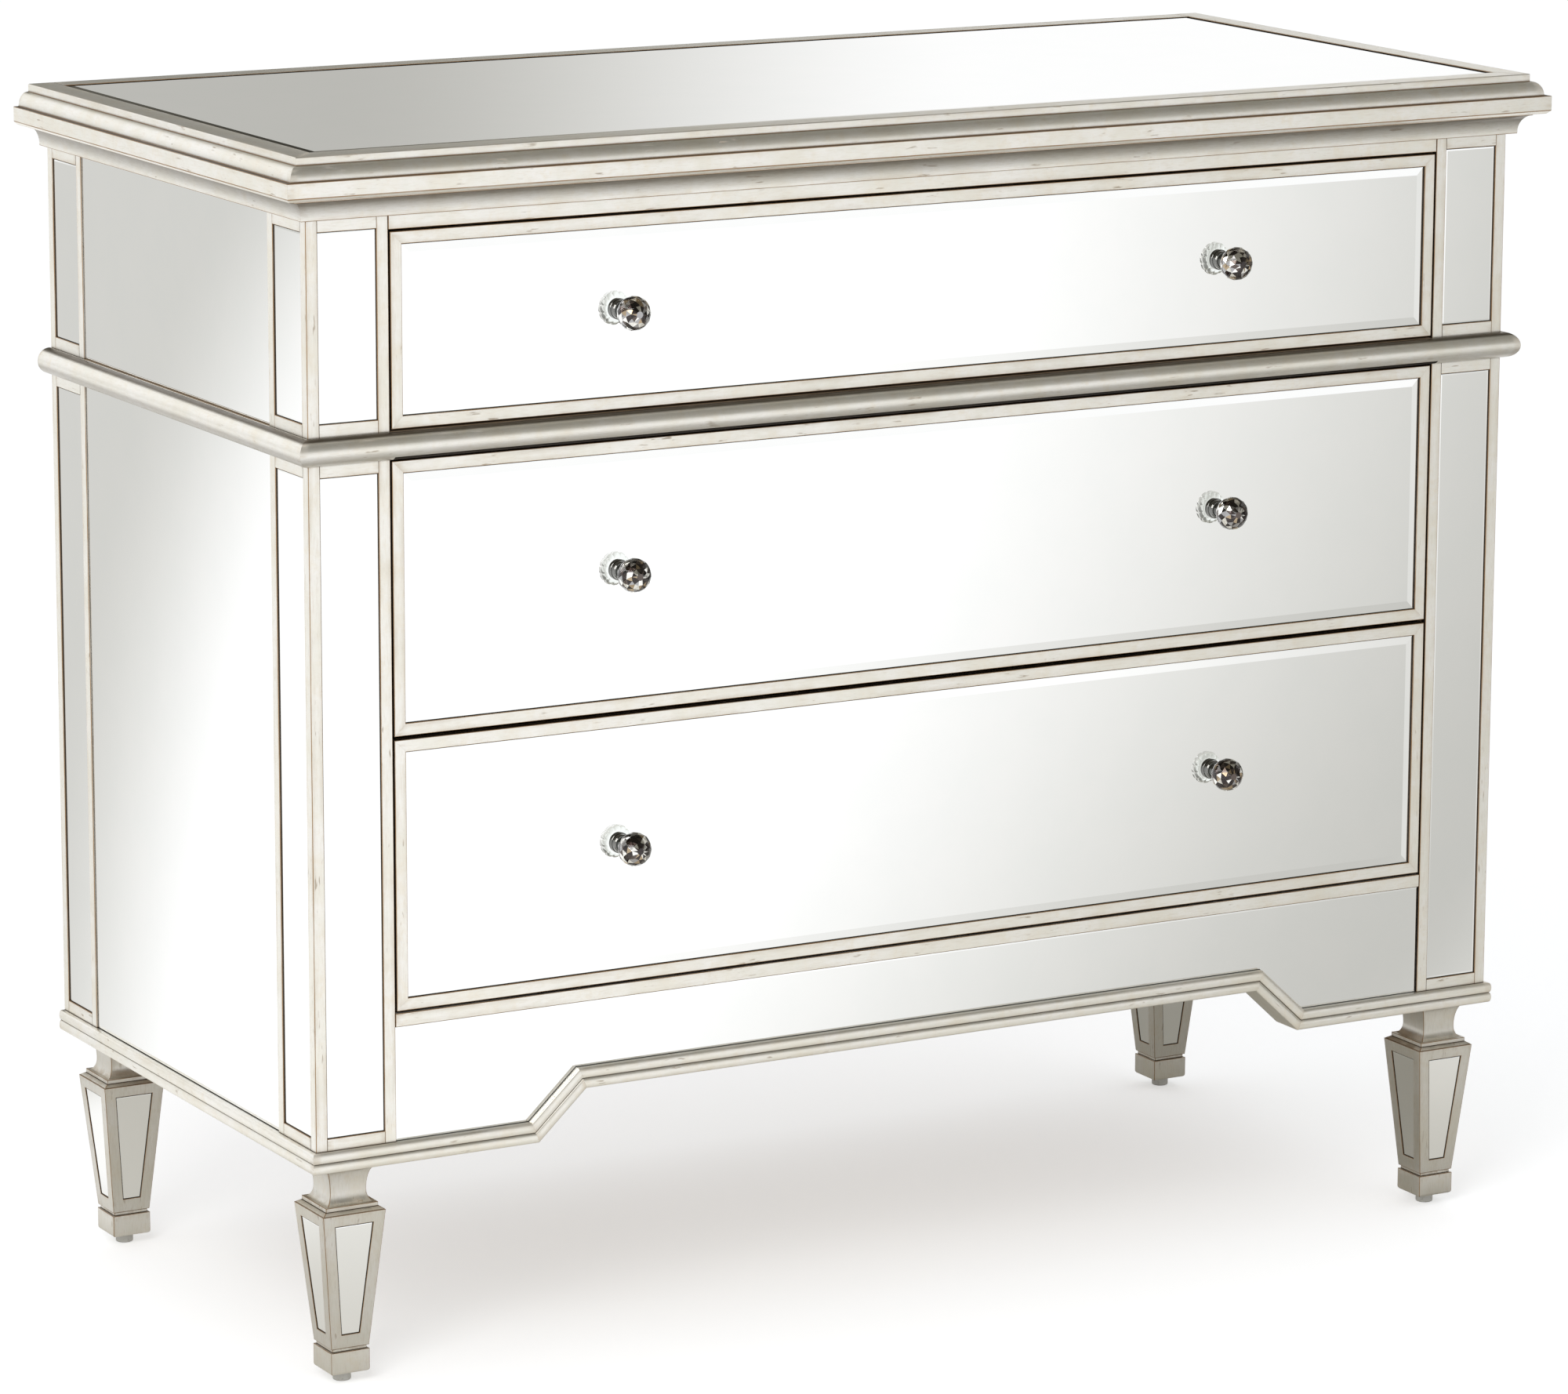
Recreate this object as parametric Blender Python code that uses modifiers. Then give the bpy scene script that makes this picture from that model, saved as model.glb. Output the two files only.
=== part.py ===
"""Mirrored chest of drawers: a painted wooden case on four tapered square legs,
faced with mirror glass, with three drawers on web frames.

Metres, +Z up, front towards -Y. The origin is the centre of the footprint of the
whole piece, at floor level.
"""
import math

import bmesh
import bpy
from mathutils import Matrix, Vector

# Case
BODY_WIDTH = 1.070
BODY_DEPTH = 0.481
FRONT_POST_SIZE = 0.0672
REAR_POST_DEPTH = 0.0664
SIDE_PANEL_THICKNESS = 0.018
BACK_PANEL_THICKNESS = 0.006
APRON_HEIGHT = 0.0898
APRON_THICKNESS = 0.018
TOP_RAIL_HEIGHT = 0.0112

# Clearances
CONTACT_GAP = 0.0003
DRAWER_SIDE_GAP = 0.0016
DRAWER_EDGE_GAP = 0.0018
DRAWER_SPLIT_GAP = 0.0030
HOLE_CLEARANCE = 0.0004
CUT_OVERRUN = 0.002
MERGE_DISTANCE = 0.00002

# Mirror glass
MIRROR_THICKNESS = 0.004
MIRROR_SETBACK = 0.002
WIDE_BEVEL = 0.006
NARROW_BEVEL = 0.0035
BEVEL_DROP = 0.0006
POST_STILE_WIDTH = 0.0096
POST_RAIL_WIDTH = 0.0098

# Top
TOP_EDGE_REACH = 0.0130
TOP_BACK_REACH = 0.005
TOP_FRAME_WIDTH = 0.0215
TOP_FILLET_HEIGHT = 0.0062
TOP_FILLET_STEP = 0.0010
OVOLO_HEIGHT = 0.0110
OVOLO_REACH = 0.0215
BAND_REACH = 0.0259
BAND_HEIGHT = 0.0118
BAND_CHAMFER = 0.0027

# Cornice under the top, waist bead and base moulding
CORNICE_HEIGHT = 0.0167
CORNICE_TOP_REACH = 0.0154
CORNICE_FOOT_REACH = 0.0066
CORNICE_FILLET = 0.0016
WAIST_HEIGHT = 0.0206
WAIST_FLAT = 0.0016
BASE_HEIGHT = 0.0162
BASE_DEPTH = 0.028
BASE_FACE_REACH = 0.0030
BASE_BEAD_BULGE = 0.0017

# Cut-out in the apron, at the lower edge of the base moulding
CUTOUT_FOOT_HALF_WIDTH = 0.3480
CUTOUT_HEAD_HALF_WIDTH = 0.3070
CUTOUT_RISE = 0.0380

# Legs and glides
LEG_SIDE_INSET = 0.0335
LEG_FRONT_INSET = 0.0305
LEG_REAR_INSET = 0.0365
GLIDE_RADIUS = 0.0071
GLIDE_HEIGHT = 0.0085
FOOT_WIDTH = 0.0325
FOOT_HEIGHT = 0.0181
FOOT_ROUNDING = 0.0025
GROOVE_WIDTH = 0.0290
GROOVE_HEIGHT = 0.0028
TAPER_BOTTOM_WIDTH = 0.0318
TAPER_TOP_WIDTH = 0.0526
TAPER_HEIGHT = 0.1090
SHOULDER_HEIGHT = 0.0022
PLATE_WIDTH = 0.0438
PLATE_HEIGHT = 0.0034
NECK_FOOT_WIDTH = 0.0400
NECK_WAIST_WIDTH = 0.0303
NECK_HEAD_WIDTH = 0.0430
NECK_FOOT_HEIGHT = 0.0095
NECK_HEAD_HEIGHT = 0.0190
NECK_LIP_HEIGHT = 0.0025
LEG_MIRROR_BORDER = 0.0094
LEG_MIRROR_HEAD = 0.0090
LEG_MIRROR_FOOT = 0.0110
LEG_RECESS_DEPTH = 0.0030

# Web frames
FRAME_RAIL_WIDTH = 0.055
RUNNER_REACH = 0.030
BOTTOM_FRAME_THICKNESS = 0.0104
MIDDLE_FRAME_THICKNESS = 0.018

# Drawers
UPPER_FRONT_HEIGHT = 0.1478
LOWER_FRONT_HEIGHT = 0.2097
FRONT_THICKNESS = 0.020
FRONT_FRAME_WIDTH = 0.0095
BOX_WALL = 0.012
UPPER_BOX_HEADROOM = 0.026
LOWER_BOX_HEADROOM = 0.039
BOX_BACK_SPACE = 0.044
BOX_GROOVE_RISE = 0.010
BOX_GROOVE_DEPTH = 0.006
BOX_BOTTOM_THICKNESS = 0.005

# Knobs
KNOB_SPACING = 0.5365
KNOB_SIDE_SHIFT = -0.0116
UPPER_KNOB_RISE = 0.004
LOWER_KNOB_RISE = 0.007
ROSETTE_RADIUS = 0.0132
ROSETTE_THICKNESS = 0.0055
COLLAR_RADIUS = 0.0082
COLLAR_LENGTH = 0.0045
COLLAR_STEP = 0.0010
COLLAR_NECK_RADIUS = 0.0052
CUP_RADIUS = 0.0078
CUP_LENGTH = 0.0030
BALL_RADIUS = 0.0134
BALL_HALF_LENGTH = 0.0116
BALL_STANDOFF = 0.0340
SCREW_RADIUS = 0.0022
SCREW_HEAD_RADIUS = 0.0045
SCREW_HEAD_THICKNESS = 0.0025

# Facets of the round forms
ARC_STEPS = 5
BEAD_STEPS = 8
KNOB_SIDES = 12
BALL_STEPS = 6
HOLE_SIDES = 12
GLIDE_SIDES = 16

# Heights, from the floor up
TOP_THICKNESS = BAND_CHAMFER + BAND_HEIGHT + OVOLO_HEIGHT + TOP_FILLET_HEIGHT
FOOT_TOP = GLIDE_HEIGHT + FOOT_HEIGHT
TAPER_BOTTOM = FOOT_TOP + GROOVE_HEIGHT
TAPER_TOP = TAPER_BOTTOM + TAPER_HEIGHT
PLATE_BOTTOM = TAPER_TOP + SHOULDER_HEIGHT
PLATE_TOP = PLATE_BOTTOM + PLATE_HEIGHT
LEG_TOP = PLATE_TOP + NECK_FOOT_HEIGHT + NECK_HEAD_HEIGHT + NECK_LIP_HEIGHT
BASE_BOTTOM = LEG_TOP + CONTACT_GAP
BASE_TOP = BASE_BOTTOM + BASE_HEIGHT
BOTTOM_FRAME_BOTTOM = BASE_TOP + APRON_HEIGHT
BOTTOM_FRAME_TOP = BOTTOM_FRAME_BOTTOM + BOTTOM_FRAME_THICKNESS
FRONT_3_BOTTOM = BOTTOM_FRAME_TOP + DRAWER_EDGE_GAP
FRONT_2_BOTTOM = FRONT_3_BOTTOM + LOWER_FRONT_HEIGHT + DRAWER_SPLIT_GAP
WAIST_BOTTOM = FRONT_2_BOTTOM + LOWER_FRONT_HEIGHT + DRAWER_EDGE_GAP
WAIST_TOP = WAIST_BOTTOM + WAIST_HEIGHT
FRONT_1_BOTTOM = WAIST_TOP + DRAWER_EDGE_GAP
TOP_FRAME_BOTTOM = FRONT_1_BOTTOM + UPPER_FRONT_HEIGHT + DRAWER_EDGE_GAP
CORNICE_BOTTOM = TOP_FRAME_BOTTOM + TOP_RAIL_HEIGHT
CASE_TOP = CORNICE_BOTTOM + CORNICE_HEIGHT
TOP_BOTTOM = CASE_TOP + CONTACT_GAP
TOP_TOP = TOP_BOTTOM + TOP_THICKNESS
MIDDLE_FRAME_MIDDLE = FRONT_2_BOTTOM - DRAWER_SPLIT_GAP / 2
MIDDLE_FRAME_BOTTOM = MIDDLE_FRAME_MIDDLE - MIDDLE_FRAME_THICKNESS / 2
MIDDLE_FRAME_TOP = MIDDLE_FRAME_MIDDLE + MIDDLE_FRAME_THICKNESS / 2

# Widths and depths
SIDE_X = BODY_WIDTH / 2
OPENING_HALF_WIDTH = SIDE_X - FRONT_POST_SIZE
RECESS_DEPTH = MIRROR_SETBACK + MIRROR_THICKNESS + CONTACT_GAP
KNOB_TIP = BALL_STANDOFF + BALL_HALF_LENGTH + CONTACT_GAP - MIRROR_SETBACK
FRONT_Y = (KNOB_TIP - BODY_DEPTH - TOP_BACK_REACH) / 2
BACK_Y = FRONT_Y + BODY_DEPTH
INNER_SIDE_X = SIDE_X - SIDE_PANEL_THICKNESS - CONTACT_GAP
INNER_BACK_Y = BACK_Y - BACK_PANEL_THICKNESS - CONTACT_GAP
REAR_POST_Y = BACK_Y - REAR_POST_DEPTH
FRONT_POST_BACK_Y = FRONT_Y + FRONT_POST_SIZE
DRAWER_HALF_WIDTH = OPENING_HALF_WIDTH - DRAWER_SIDE_GAP
DRAWER_MIRROR_Y = FRONT_Y + MIRROR_SETBACK
BOX_FRONT_Y = FRONT_Y + FRONT_THICKNESS + CONTACT_GAP
BOX_BACK_Y = INNER_BACK_Y - BOX_BACK_SPACE

# The corners of a rectangle, as signs of its half width and half length
BOX_CORNERS = ((-1, -1), (1, -1), (1, 1), (-1, 1))

for old in list(bpy.data.objects):
    bpy.data.objects.remove(old, do_unlink=True)

chest = bpy.data.collections.new("mirrored_chest_of_drawers")
cutters = bpy.data.collections.new("cutters")
bpy.context.scene.collection.children.link(chest)
bpy.context.scene.collection.children.link(cutters)


def finish(name, colour, roughness, metallic):
    """A plain finish: base colour, roughness and metallic value."""
    material = bpy.data.materials.new(name)
    material.use_nodes = True
    shader = material.node_tree.nodes["Principled BSDF"]
    shader.inputs["Base Color"].default_value = (*colour, 1)
    shader.inputs["Roughness"].default_value = roughness
    shader.inputs["Metallic"].default_value = metallic
    material.diffuse_color = (*colour, 1)
    return material


SILVER_LEAF = finish("silver_leaf", (0.66, 0.62, 0.55), 0.40, 0.35)
MIRROR = finish("mirror_glass", (0.86, 0.88, 0.88), 0.03, 1.0)
CRYSTAL = finish("crystal_knob", (0.75, 0.75, 0.75), 0.08, 0.5)
DRAWER_WOOD = finish("drawer_wood", (0.56, 0.42, 0.27), 0.55, 0.0)
FRAME_WOOD = finish("frame_wood", (0.45, 0.34, 0.23), 0.6, 0.0)
BACK_BOARD = finish("back_board", (0.30, 0.24, 0.18), 0.7, 0.0)
GLIDE_PLASTIC = finish("glide_plastic", (0.62, 0.61, 0.58), 0.5, 0.0)


def add_object(name, data, material, location, parent=None):
    """An object in the chest's collection, at a place in world coordinates."""
    piece = bpy.data.objects.new(name, data)
    data.materials.append(material)
    piece.location = location
    if parent:
        piece.parent = parent
        piece.location = Vector(location) - parent.location
    chest.objects.link(piece)
    return piece


def box_mesh(name, size):
    """A closed box of the given size about the origin."""
    mesh = bpy.data.meshes.new(name)
    shape = bmesh.new()
    bmesh.ops.create_cube(shape, size=1, matrix=Matrix.Diagonal((*size, 1)))
    shape.to_mesh(mesh)
    shape.free()
    return mesh


def centre_and_size(corner, opposite):
    """The middle and the extent of a box between two opposite corners."""
    corner = Vector(corner)
    opposite = Vector(opposite)
    return (corner + opposite) / 2, [abs(extent) for extent in opposite - corner]


def box(name, corner, opposite, material, parent=None):
    """A box between two opposite corners."""
    centre, size = centre_and_size(corner, opposite)
    return add_object(name, box_mesh(name, size), material, centre, parent)


def add_cutter(name, mesh, location, rotation=(0, 0, 0)):
    """A cutter, which is drawn as wire and left out of the model."""
    cutter = bpy.data.objects.new(name, mesh)
    cutter.location = location
    cutter.rotation_euler = rotation
    cutter.hide_render = True
    cutter.display_type = "WIRE"
    cutters.objects.link(cutter)
    return cutter


def subtract(piece, cutter):
    """Cuts a cutter out of a piece."""
    cut = piece.modifiers.new(cutter.name, "BOOLEAN")
    cut.operation = "DIFFERENCE"
    cut.solver = "EXACT"
    cut.object = cutter


def cut_box(piece, label, corner, opposite):
    """Cuts the box between two opposite corners out of a piece."""
    centre, size = centre_and_size(corner, opposite)
    name = f"{piece.name}_{label}"
    subtract(piece, add_cutter(name, box_mesh(name, size), centre))


def loft_mesh(name, rings):
    """A closed solid through rings of as many points each, with flat ends."""
    mesh = bpy.data.meshes.new(name)
    shape = bmesh.new()
    layers = [[shape.verts.new(point) for point in ring] for ring in rings]
    for lower, upper in zip(layers, layers[1:]):
        for index, corner in enumerate(lower):
            following = (index + 1) % len(lower)
            shape.faces.new((corner, lower[following], upper[following], upper[index]))
    shape.faces.new(list(reversed(layers[0])))
    shape.faces.new(layers[-1])
    bmesh.ops.recalc_face_normals(shape, faces=shape.faces)
    shape.to_mesh(mesh)
    shape.free()
    return mesh


def arc(centre, radii, start_degrees, end_degrees, steps):
    """Points on an elliptical arc, both ends included."""
    points = []
    for step in range(steps + 1):
        angle = math.radians(start_degrees + (end_degrees - start_degrees) * step / steps)
        points.append((centre[0] + radii[0] * math.cos(angle),
                       centre[1] + radii[1] * math.sin(angle)))
    return points


def flat_outline(name, outlines, thickness, material, location, rotation=(0, 0, 0)):
    """A plate from closed flat outlines, an inner one being a hole."""
    curve = bpy.data.curves.new(name, "CURVE")
    curve.dimensions = "2D"
    curve.fill_mode = "BOTH"
    curve.extrude = thickness / 2
    for outline in outlines:
        spline = curve.splines.new("POLY")
        spline.points.add(len(outline) - 1)
        for point, (across, along) in zip(spline.points, outline):
            point.co = (across, along, 0, 1)
        spline.use_cyclic_u = True
    plate = add_object(name, curve, material, location)
    plate.rotation_euler = rotation
    return plate


def turned(name, profile, sides, material, location, rotation=(0, 0, 0), parent=None):
    """A turned solid from (radius, height) points that run from top to bottom."""
    mesh = bpy.data.meshes.new(name)
    points = [(radius, 0, height) for radius, height in profile]
    edges = [(index, index + 1) for index in range(len(points) - 1)]
    mesh.from_pydata(points, edges, [])
    piece = add_object(name, mesh, material, location, parent)
    piece.rotation_euler = rotation
    screw = piece.modifiers.new("turning", "SCREW")
    screw.steps = sides
    screw.render_steps = sides
    screw.use_merge_vertices = True
    screw.merge_threshold = MERGE_DISTANCE
    screw.use_smooth_shade = False
    return piece


def profile_rings(stations, profile):
    """A profile set up at each station of a path. A station is a place with the way
    out and the way up there; a profile point is a reach out and a height."""
    rings = []
    for place, outward, upward in stations:
        rings.append([Vector(place) + Vector(outward) * reach + Vector(upward) * rise
                      for reach, rise in profile])
    return rings


def moulding(name, stations, profile, material, height):
    """A moulding with mitred corners, from a closed profile."""
    mesh = loft_mesh(name, profile_rings(stations, profile))
    return add_object(name, mesh, material, (0, 0, height))


def moulded_board(name, stations, profile, material, height):
    """A board whose edge follows an open profile, from the underside to the top,
    along the path, and is flat across the path's ends."""
    mesh = bpy.data.meshes.new(name)
    shape = bmesh.new()
    columns = [[shape.verts.new(point) for point in ring]
               for ring in profile_rings(stations, profile)]
    for column, following in zip(columns, columns[1:]):
        for index in range(len(profile) - 1):
            shape.faces.new((column[index], following[index],
                             following[index + 1], column[index + 1]))
    shape.faces.new([column[0] for column in reversed(columns)])
    shape.faces.new([column[-1] for column in columns])
    shape.faces.new(columns[-1] + list(reversed(columns[0])))
    bmesh.ops.recalc_face_normals(shape, faces=shape.faces)
    shape.to_mesh(mesh)
    shape.free()
    return add_object(name, mesh, material, (0, 0, height))


def case_path(back=BACK_Y):
    """The path of a moulding round the left side, the front and the right side."""
    return [((-SIDE_X, back, 0), (-1, 0, 0), (0, 0, 1)),
            ((-SIDE_X, FRONT_Y, 0), (-1, -1, 0), (0, 0, 1)),
            ((SIDE_X, FRONT_Y, 0), (1, -1, 0), (0, 0, 1)),
            ((SIDE_X, back, 0), (1, 0, 0), (0, 0, 1))]


def cutout_mitre():
    """The way up at the cut-out's left corners, for a rise of one."""
    run = Vector((CUTOUT_FOOT_HALF_WIDTH - CUTOUT_HEAD_HALF_WIDTH, CUTOUT_RISE)).normalized()
    normal = Vector((-run.y, run.x))
    level = Vector((0, 1))
    return (normal + level) / (1 + normal.dot(level))


def cutout_points(rise):
    """The cut-out's four corners (x, height) at a rise above the moulding's foot."""
    mitre = cutout_mitre()
    corners = [(-CUTOUT_FOOT_HALF_WIDTH, 0), (-CUTOUT_HEAD_HALF_WIDTH, CUTOUT_RISE)]
    left = [(across + mitre.x * rise, height + mitre.y * rise) for across, height in corners]
    right = [(-across, height) for across, height in reversed(left)]
    return left + right


def base_path():
    """The path of the base moulding, which follows the cut-out along the front."""
    mitre = cutout_mitre()
    left_back, left_front, right_front, right_back = case_path()
    stations = [left_back, left_front]
    for side, (across, height) in zip((1, 1, -1, -1), cutout_points(0)):
        stations.append(((across, FRONT_Y, height), (0, -1, 0), (side * mitre.x, 0, mitre.y)))
    return stations + [right_front, right_back]


def glass_plate(name, size, bevel, location, rotation=(0, 0, 0), parent=None):
    """A mirror with a ground bevel on its face, which is towards local +Z.
    Its location is the middle of its face."""
    half_width = size[0] / 2
    half_height = size[1] / 2
    levels = [(0, -MIRROR_THICKNESS), (0, -BEVEL_DROP), (bevel, 0)]
    rings = [[(side * (half_width - inset), end * (half_height - inset), depth)
              for side, end in BOX_CORNERS] for inset, depth in levels]
    plate = add_object(name, loft_mesh(name, rings), MIRROR, location, parent)
    plate.rotation_euler = rotation
    return plate


# Turns of a glass plate whose face looks to the front, the left and the right
FACING = {"front": (math.radians(90), 0, 0),
          "left": (math.radians(90), 0, math.radians(-90)),
          "right": (math.radians(90), 0, math.radians(90))}


def make_top():
    """The moulded top with its inlaid mirror."""
    band_top = BAND_CHAMFER + BAND_HEIGHT
    ovolo_top = band_top + OVOLO_HEIGHT
    ovolo_start = TOP_EDGE_REACH + TOP_FILLET_STEP
    profile = [(BAND_REACH - BAND_CHAMFER, 0), (BAND_REACH, BAND_CHAMFER), (BAND_REACH, band_top)]
    profile += arc((ovolo_start, band_top), (OVOLO_REACH - ovolo_start, OVOLO_HEIGHT),
                   0, 90, ARC_STEPS)
    profile += [(TOP_EDGE_REACH, ovolo_top), (TOP_EDGE_REACH, TOP_THICKNESS)]
    back = BACK_Y + TOP_BACK_REACH
    slab = moulded_board("top_slab", case_path(back), profile, SILVER_LEAF, TOP_BOTTOM)
    half_width = SIDE_X + TOP_EDGE_REACH - TOP_FRAME_WIDTH
    low_y = FRONT_Y - TOP_EDGE_REACH + TOP_FRAME_WIDTH
    high_y = back - TOP_FRAME_WIDTH
    cut_box(slab, "mirror_recess", (-half_width, low_y, TOP_TOP - RECESS_DEPTH),
            (half_width, high_y, TOP_TOP + CUT_OVERRUN))
    size = (2 * (half_width - CONTACT_GAP), high_y - low_y - 2 * CONTACT_GAP)
    glass_plate("top_mirror", size, NARROW_BEVEL,
                (0, (low_y + high_y) / 2, TOP_TOP - MIRROR_SETBACK))


def make_mouldings():
    """The cornice, the half-round waist bead and the double-bead base moulding."""
    cove_radii = (CORNICE_TOP_REACH - CORNICE_FOOT_REACH, CORNICE_HEIGHT - 2 * CORNICE_FILLET)
    cornice = [(CONTACT_GAP, 0), (CORNICE_FOOT_REACH, 0)]
    cornice += arc((CORNICE_TOP_REACH, CORNICE_FILLET), cove_radii, 180, 90, ARC_STEPS)
    cornice += [(CORNICE_TOP_REACH, CORNICE_HEIGHT), (CONTACT_GAP, CORNICE_HEIGHT)]
    moulding("cornice_moulding", case_path(), cornice, SILVER_LEAF, CORNICE_BOTTOM)

    waist = [(CONTACT_GAP, 0)]
    waist += arc((WAIST_FLAT, WAIST_HEIGHT / 2), (WAIST_HEIGHT / 2, WAIST_HEIGHT / 2),
                 -90, 90, BEAD_STEPS)
    waist += [(CONTACT_GAP, WAIST_HEIGHT)]
    moulding("waist_moulding", case_path(), waist, SILVER_LEAF, WAIST_BOTTOM)

    bead_height = BASE_HEIGHT / 2
    base = [(-BASE_DEPTH, 0)]
    for bead in range(2):
        middle = (BASE_FACE_REACH, bead_height * (bead + 1 / 2))
        base += arc(middle, (BASE_BEAD_BULGE, bead_height / 2), -90, 90, ARC_STEPS)[bead:]
    base += [(-BASE_DEPTH, BASE_HEIGHT)]
    moulding("base_moulding", base_path(), base, SILVER_LEAF, BASE_BOTTOM)


def on_face(face, along, depth, height):
    """A point at a depth behind the front, left or right face of the case."""
    if face == "front":
        return (along, FRONT_Y + depth, height)
    side = -1 if face == "left" else 1
    return (side * (SIDE_X - depth), along, height)


def inlay(piece, name, face, across, up):
    """Cuts a recess into one face of a piece and sets its mirror in it. Across and up
    are the recess's two edges along the face and its two heights."""
    cut_box(piece, f"{name}_recess", on_face(face, across[0], RECESS_DEPTH, up[0]),
            on_face(face, across[1], -CUT_OVERRUN, up[1]))
    set_mirror(name, face, across, up)


def set_mirror(name, face, across, up):
    """A mirror that fills a recess of the given edges, less the contact gap."""
    size = (across[1] - across[0] - 2 * CONTACT_GAP, up[1] - up[0] - 2 * CONTACT_GAP)
    middle = on_face(face, sum(across) / 2, MIRROR_SETBACK, sum(up) / 2)
    glass_plate(name, size, NARROW_BEVEL, middle, FACING[face])


def make_post(name, side, front_y, back_y):
    """A corner post, stepped at the foot to seat on the base moulding, with a mirror
    above and below the waist on each outer face."""
    step = BASE_DEPTH + CONTACT_GAP
    step_top = BASE_TOP + CONTACT_GAP
    below = BASE_BOTTOM - CUT_OVERRUN
    inner_x = side * OPENING_HALF_WIDTH
    outer_x = side * SIDE_X
    post = box(f"{name}_post", (inner_x, front_y, BASE_BOTTOM), (outer_x, back_y, CASE_TOP),
               SILVER_LEAF)
    cut_box(post, "side_step", (side * (SIDE_X - step), front_y - CUT_OVERRUN, below),
            (side * (SIDE_X + CUT_OVERRUN), back_y + CUT_OVERRUN, step_top))
    outer_faces = {"left" if side < 0 else "right": (front_y, back_y)}
    if front_y == FRONT_Y:
        cut_box(post, "front_step", (inner_x - side * CUT_OVERRUN, front_y - CUT_OVERRUN, below),
                (outer_x + side * CUT_OVERRUN, front_y + step, step_top))
        outer_faces["front"] = sorted((inner_x, outer_x))
    levels = {"upper": (WAIST_TOP + POST_RAIL_WIDTH, CORNICE_BOTTOM - POST_RAIL_WIDTH),
              "lower": (BASE_TOP + POST_RAIL_WIDTH, WAIST_BOTTOM - POST_RAIL_WIDTH)}
    for face, (low, high) in outer_faces.items():
        across = (low + POST_STILE_WIDTH, high - POST_STILE_WIDTH)
        for level, up in levels.items():
            label = "front" if face == "front" else "side"
            inlay(post, f"{name}_{level}_{label}_mirror", face, across, up)


def make_posts():
    """The four corner posts."""
    for side_name, side in (("left", -1), ("right", 1)):
        make_post(f"front_{side_name}", side, FRONT_Y, FRONT_POST_BACK_Y)
        make_post(f"rear_{side_name}", side, REAR_POST_Y, BACK_Y)


def make_sides():
    """The side panels between the posts, each faced with an upper and a lower mirror."""
    low_y = FRONT_POST_BACK_Y + CONTACT_GAP
    high_y = REAR_POST_Y - CONTACT_GAP
    foot = BASE_TOP + CONTACT_GAP
    for face, side in (("left", -1), ("right", 1)):
        panel = box(f"{face}_side_panel", (side * (SIDE_X - SIDE_PANEL_THICKNESS), low_y, foot),
                    (side * SIDE_X, high_y, CASE_TOP), SILVER_LEAF)
        # Each recess runs out of the panel at its ends, and the lower one at its foot too.
        for level, bottom, cut_bottom, top in (
                ("upper", WAIST_TOP, WAIST_TOP, CORNICE_BOTTOM),
                ("lower", foot, foot - CUT_OVERRUN, WAIST_BOTTOM)):
            cut_box(panel, f"{level}_recess",
                    on_face(face, low_y - CUT_OVERRUN, RECESS_DEPTH, cut_bottom),
                    on_face(face, high_y + CUT_OVERRUN, -CUT_OVERRUN, top))
            across = (low_y - CONTACT_GAP, high_y + CONTACT_GAP)
            set_mirror(f"{face}_side_{level}_mirror", face, across, (bottom, top))


def make_frame(name, bottom, top, front_y, material):
    """A web frame that is notched round the four posts and open in the middle."""
    half = INNER_SIDE_X
    notch = OPENING_HALF_WIDTH - CONTACT_GAP
    front_notch = FRONT_POST_BACK_Y + CONTACT_GAP
    rear_notch = REAR_POST_Y - CONTACT_GAP
    back = INNER_BACK_Y
    outline = [(-notch, front_y), (notch, front_y), (notch, front_notch), (half, front_notch),
               (half, rear_notch), (notch, rear_notch), (notch, back),
               (-notch, back), (-notch, rear_notch), (-half, rear_notch),
               (-half, front_notch), (-notch, front_notch)]
    window_half = OPENING_HALF_WIDTH - RUNNER_REACH
    window_front = front_y + FRAME_RAIL_WIDTH
    window_back = back - FRAME_RAIL_WIDTH
    window = [(-window_half, window_front), (window_half, window_front),
              (window_half, window_back), (-window_half, window_back)]
    flat_outline(name, [outline, window], top - bottom, material, (0, 0, (bottom + top) / 2))


def make_frames():
    """The frames that tie the posts together and carry the drawers. The top and the
    bottom frame show as silvered rails, and the middle one lies behind the drawers."""
    behind_fronts = FRONT_Y + FRONT_THICKNESS + DRAWER_EDGE_GAP
    make_frame("top_frame", TOP_FRAME_BOTTOM, CASE_TOP, FRONT_Y, SILVER_LEAF)
    make_frame("waist_frame", WAIST_BOTTOM, WAIST_TOP, FRONT_Y, FRAME_WOOD)
    make_frame("middle_frame", MIDDLE_FRAME_BOTTOM, MIDDLE_FRAME_TOP, behind_fronts, FRAME_WOOD)
    make_frame("bottom_frame", BOTTOM_FRAME_BOTTOM, BOTTOM_FRAME_TOP, FRONT_Y, SILVER_LEAF)


def make_apron():
    """The apron with its cut-out, and the mirror on it."""
    half = OPENING_HALF_WIDTH - CONTACT_GAP
    foot = BASE_HEIGHT + CONTACT_GAP
    top = BOTTOM_FRAME_BOTTOM - CONTACT_GAP - BASE_BOTTOM
    outline = [(-half, foot)] + cutout_points(foot) + [(half, foot), (half, top), (-half, top)]
    upright = (math.radians(90), 0, 0)
    panel_front = FRONT_Y + RECESS_DEPTH
    flat_outline("apron_panel", [outline], APRON_THICKNESS, SILVER_LEAF,
                 (0, panel_front + APRON_THICKNESS / 2, BASE_BOTTOM), upright)
    flat_outline("apron_mirror", [outline], MIRROR_THICKNESS, MIRROR,
                 (0, FRONT_Y + MIRROR_SETBACK + MIRROR_THICKNESS / 2, BASE_BOTTOM), upright)


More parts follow.
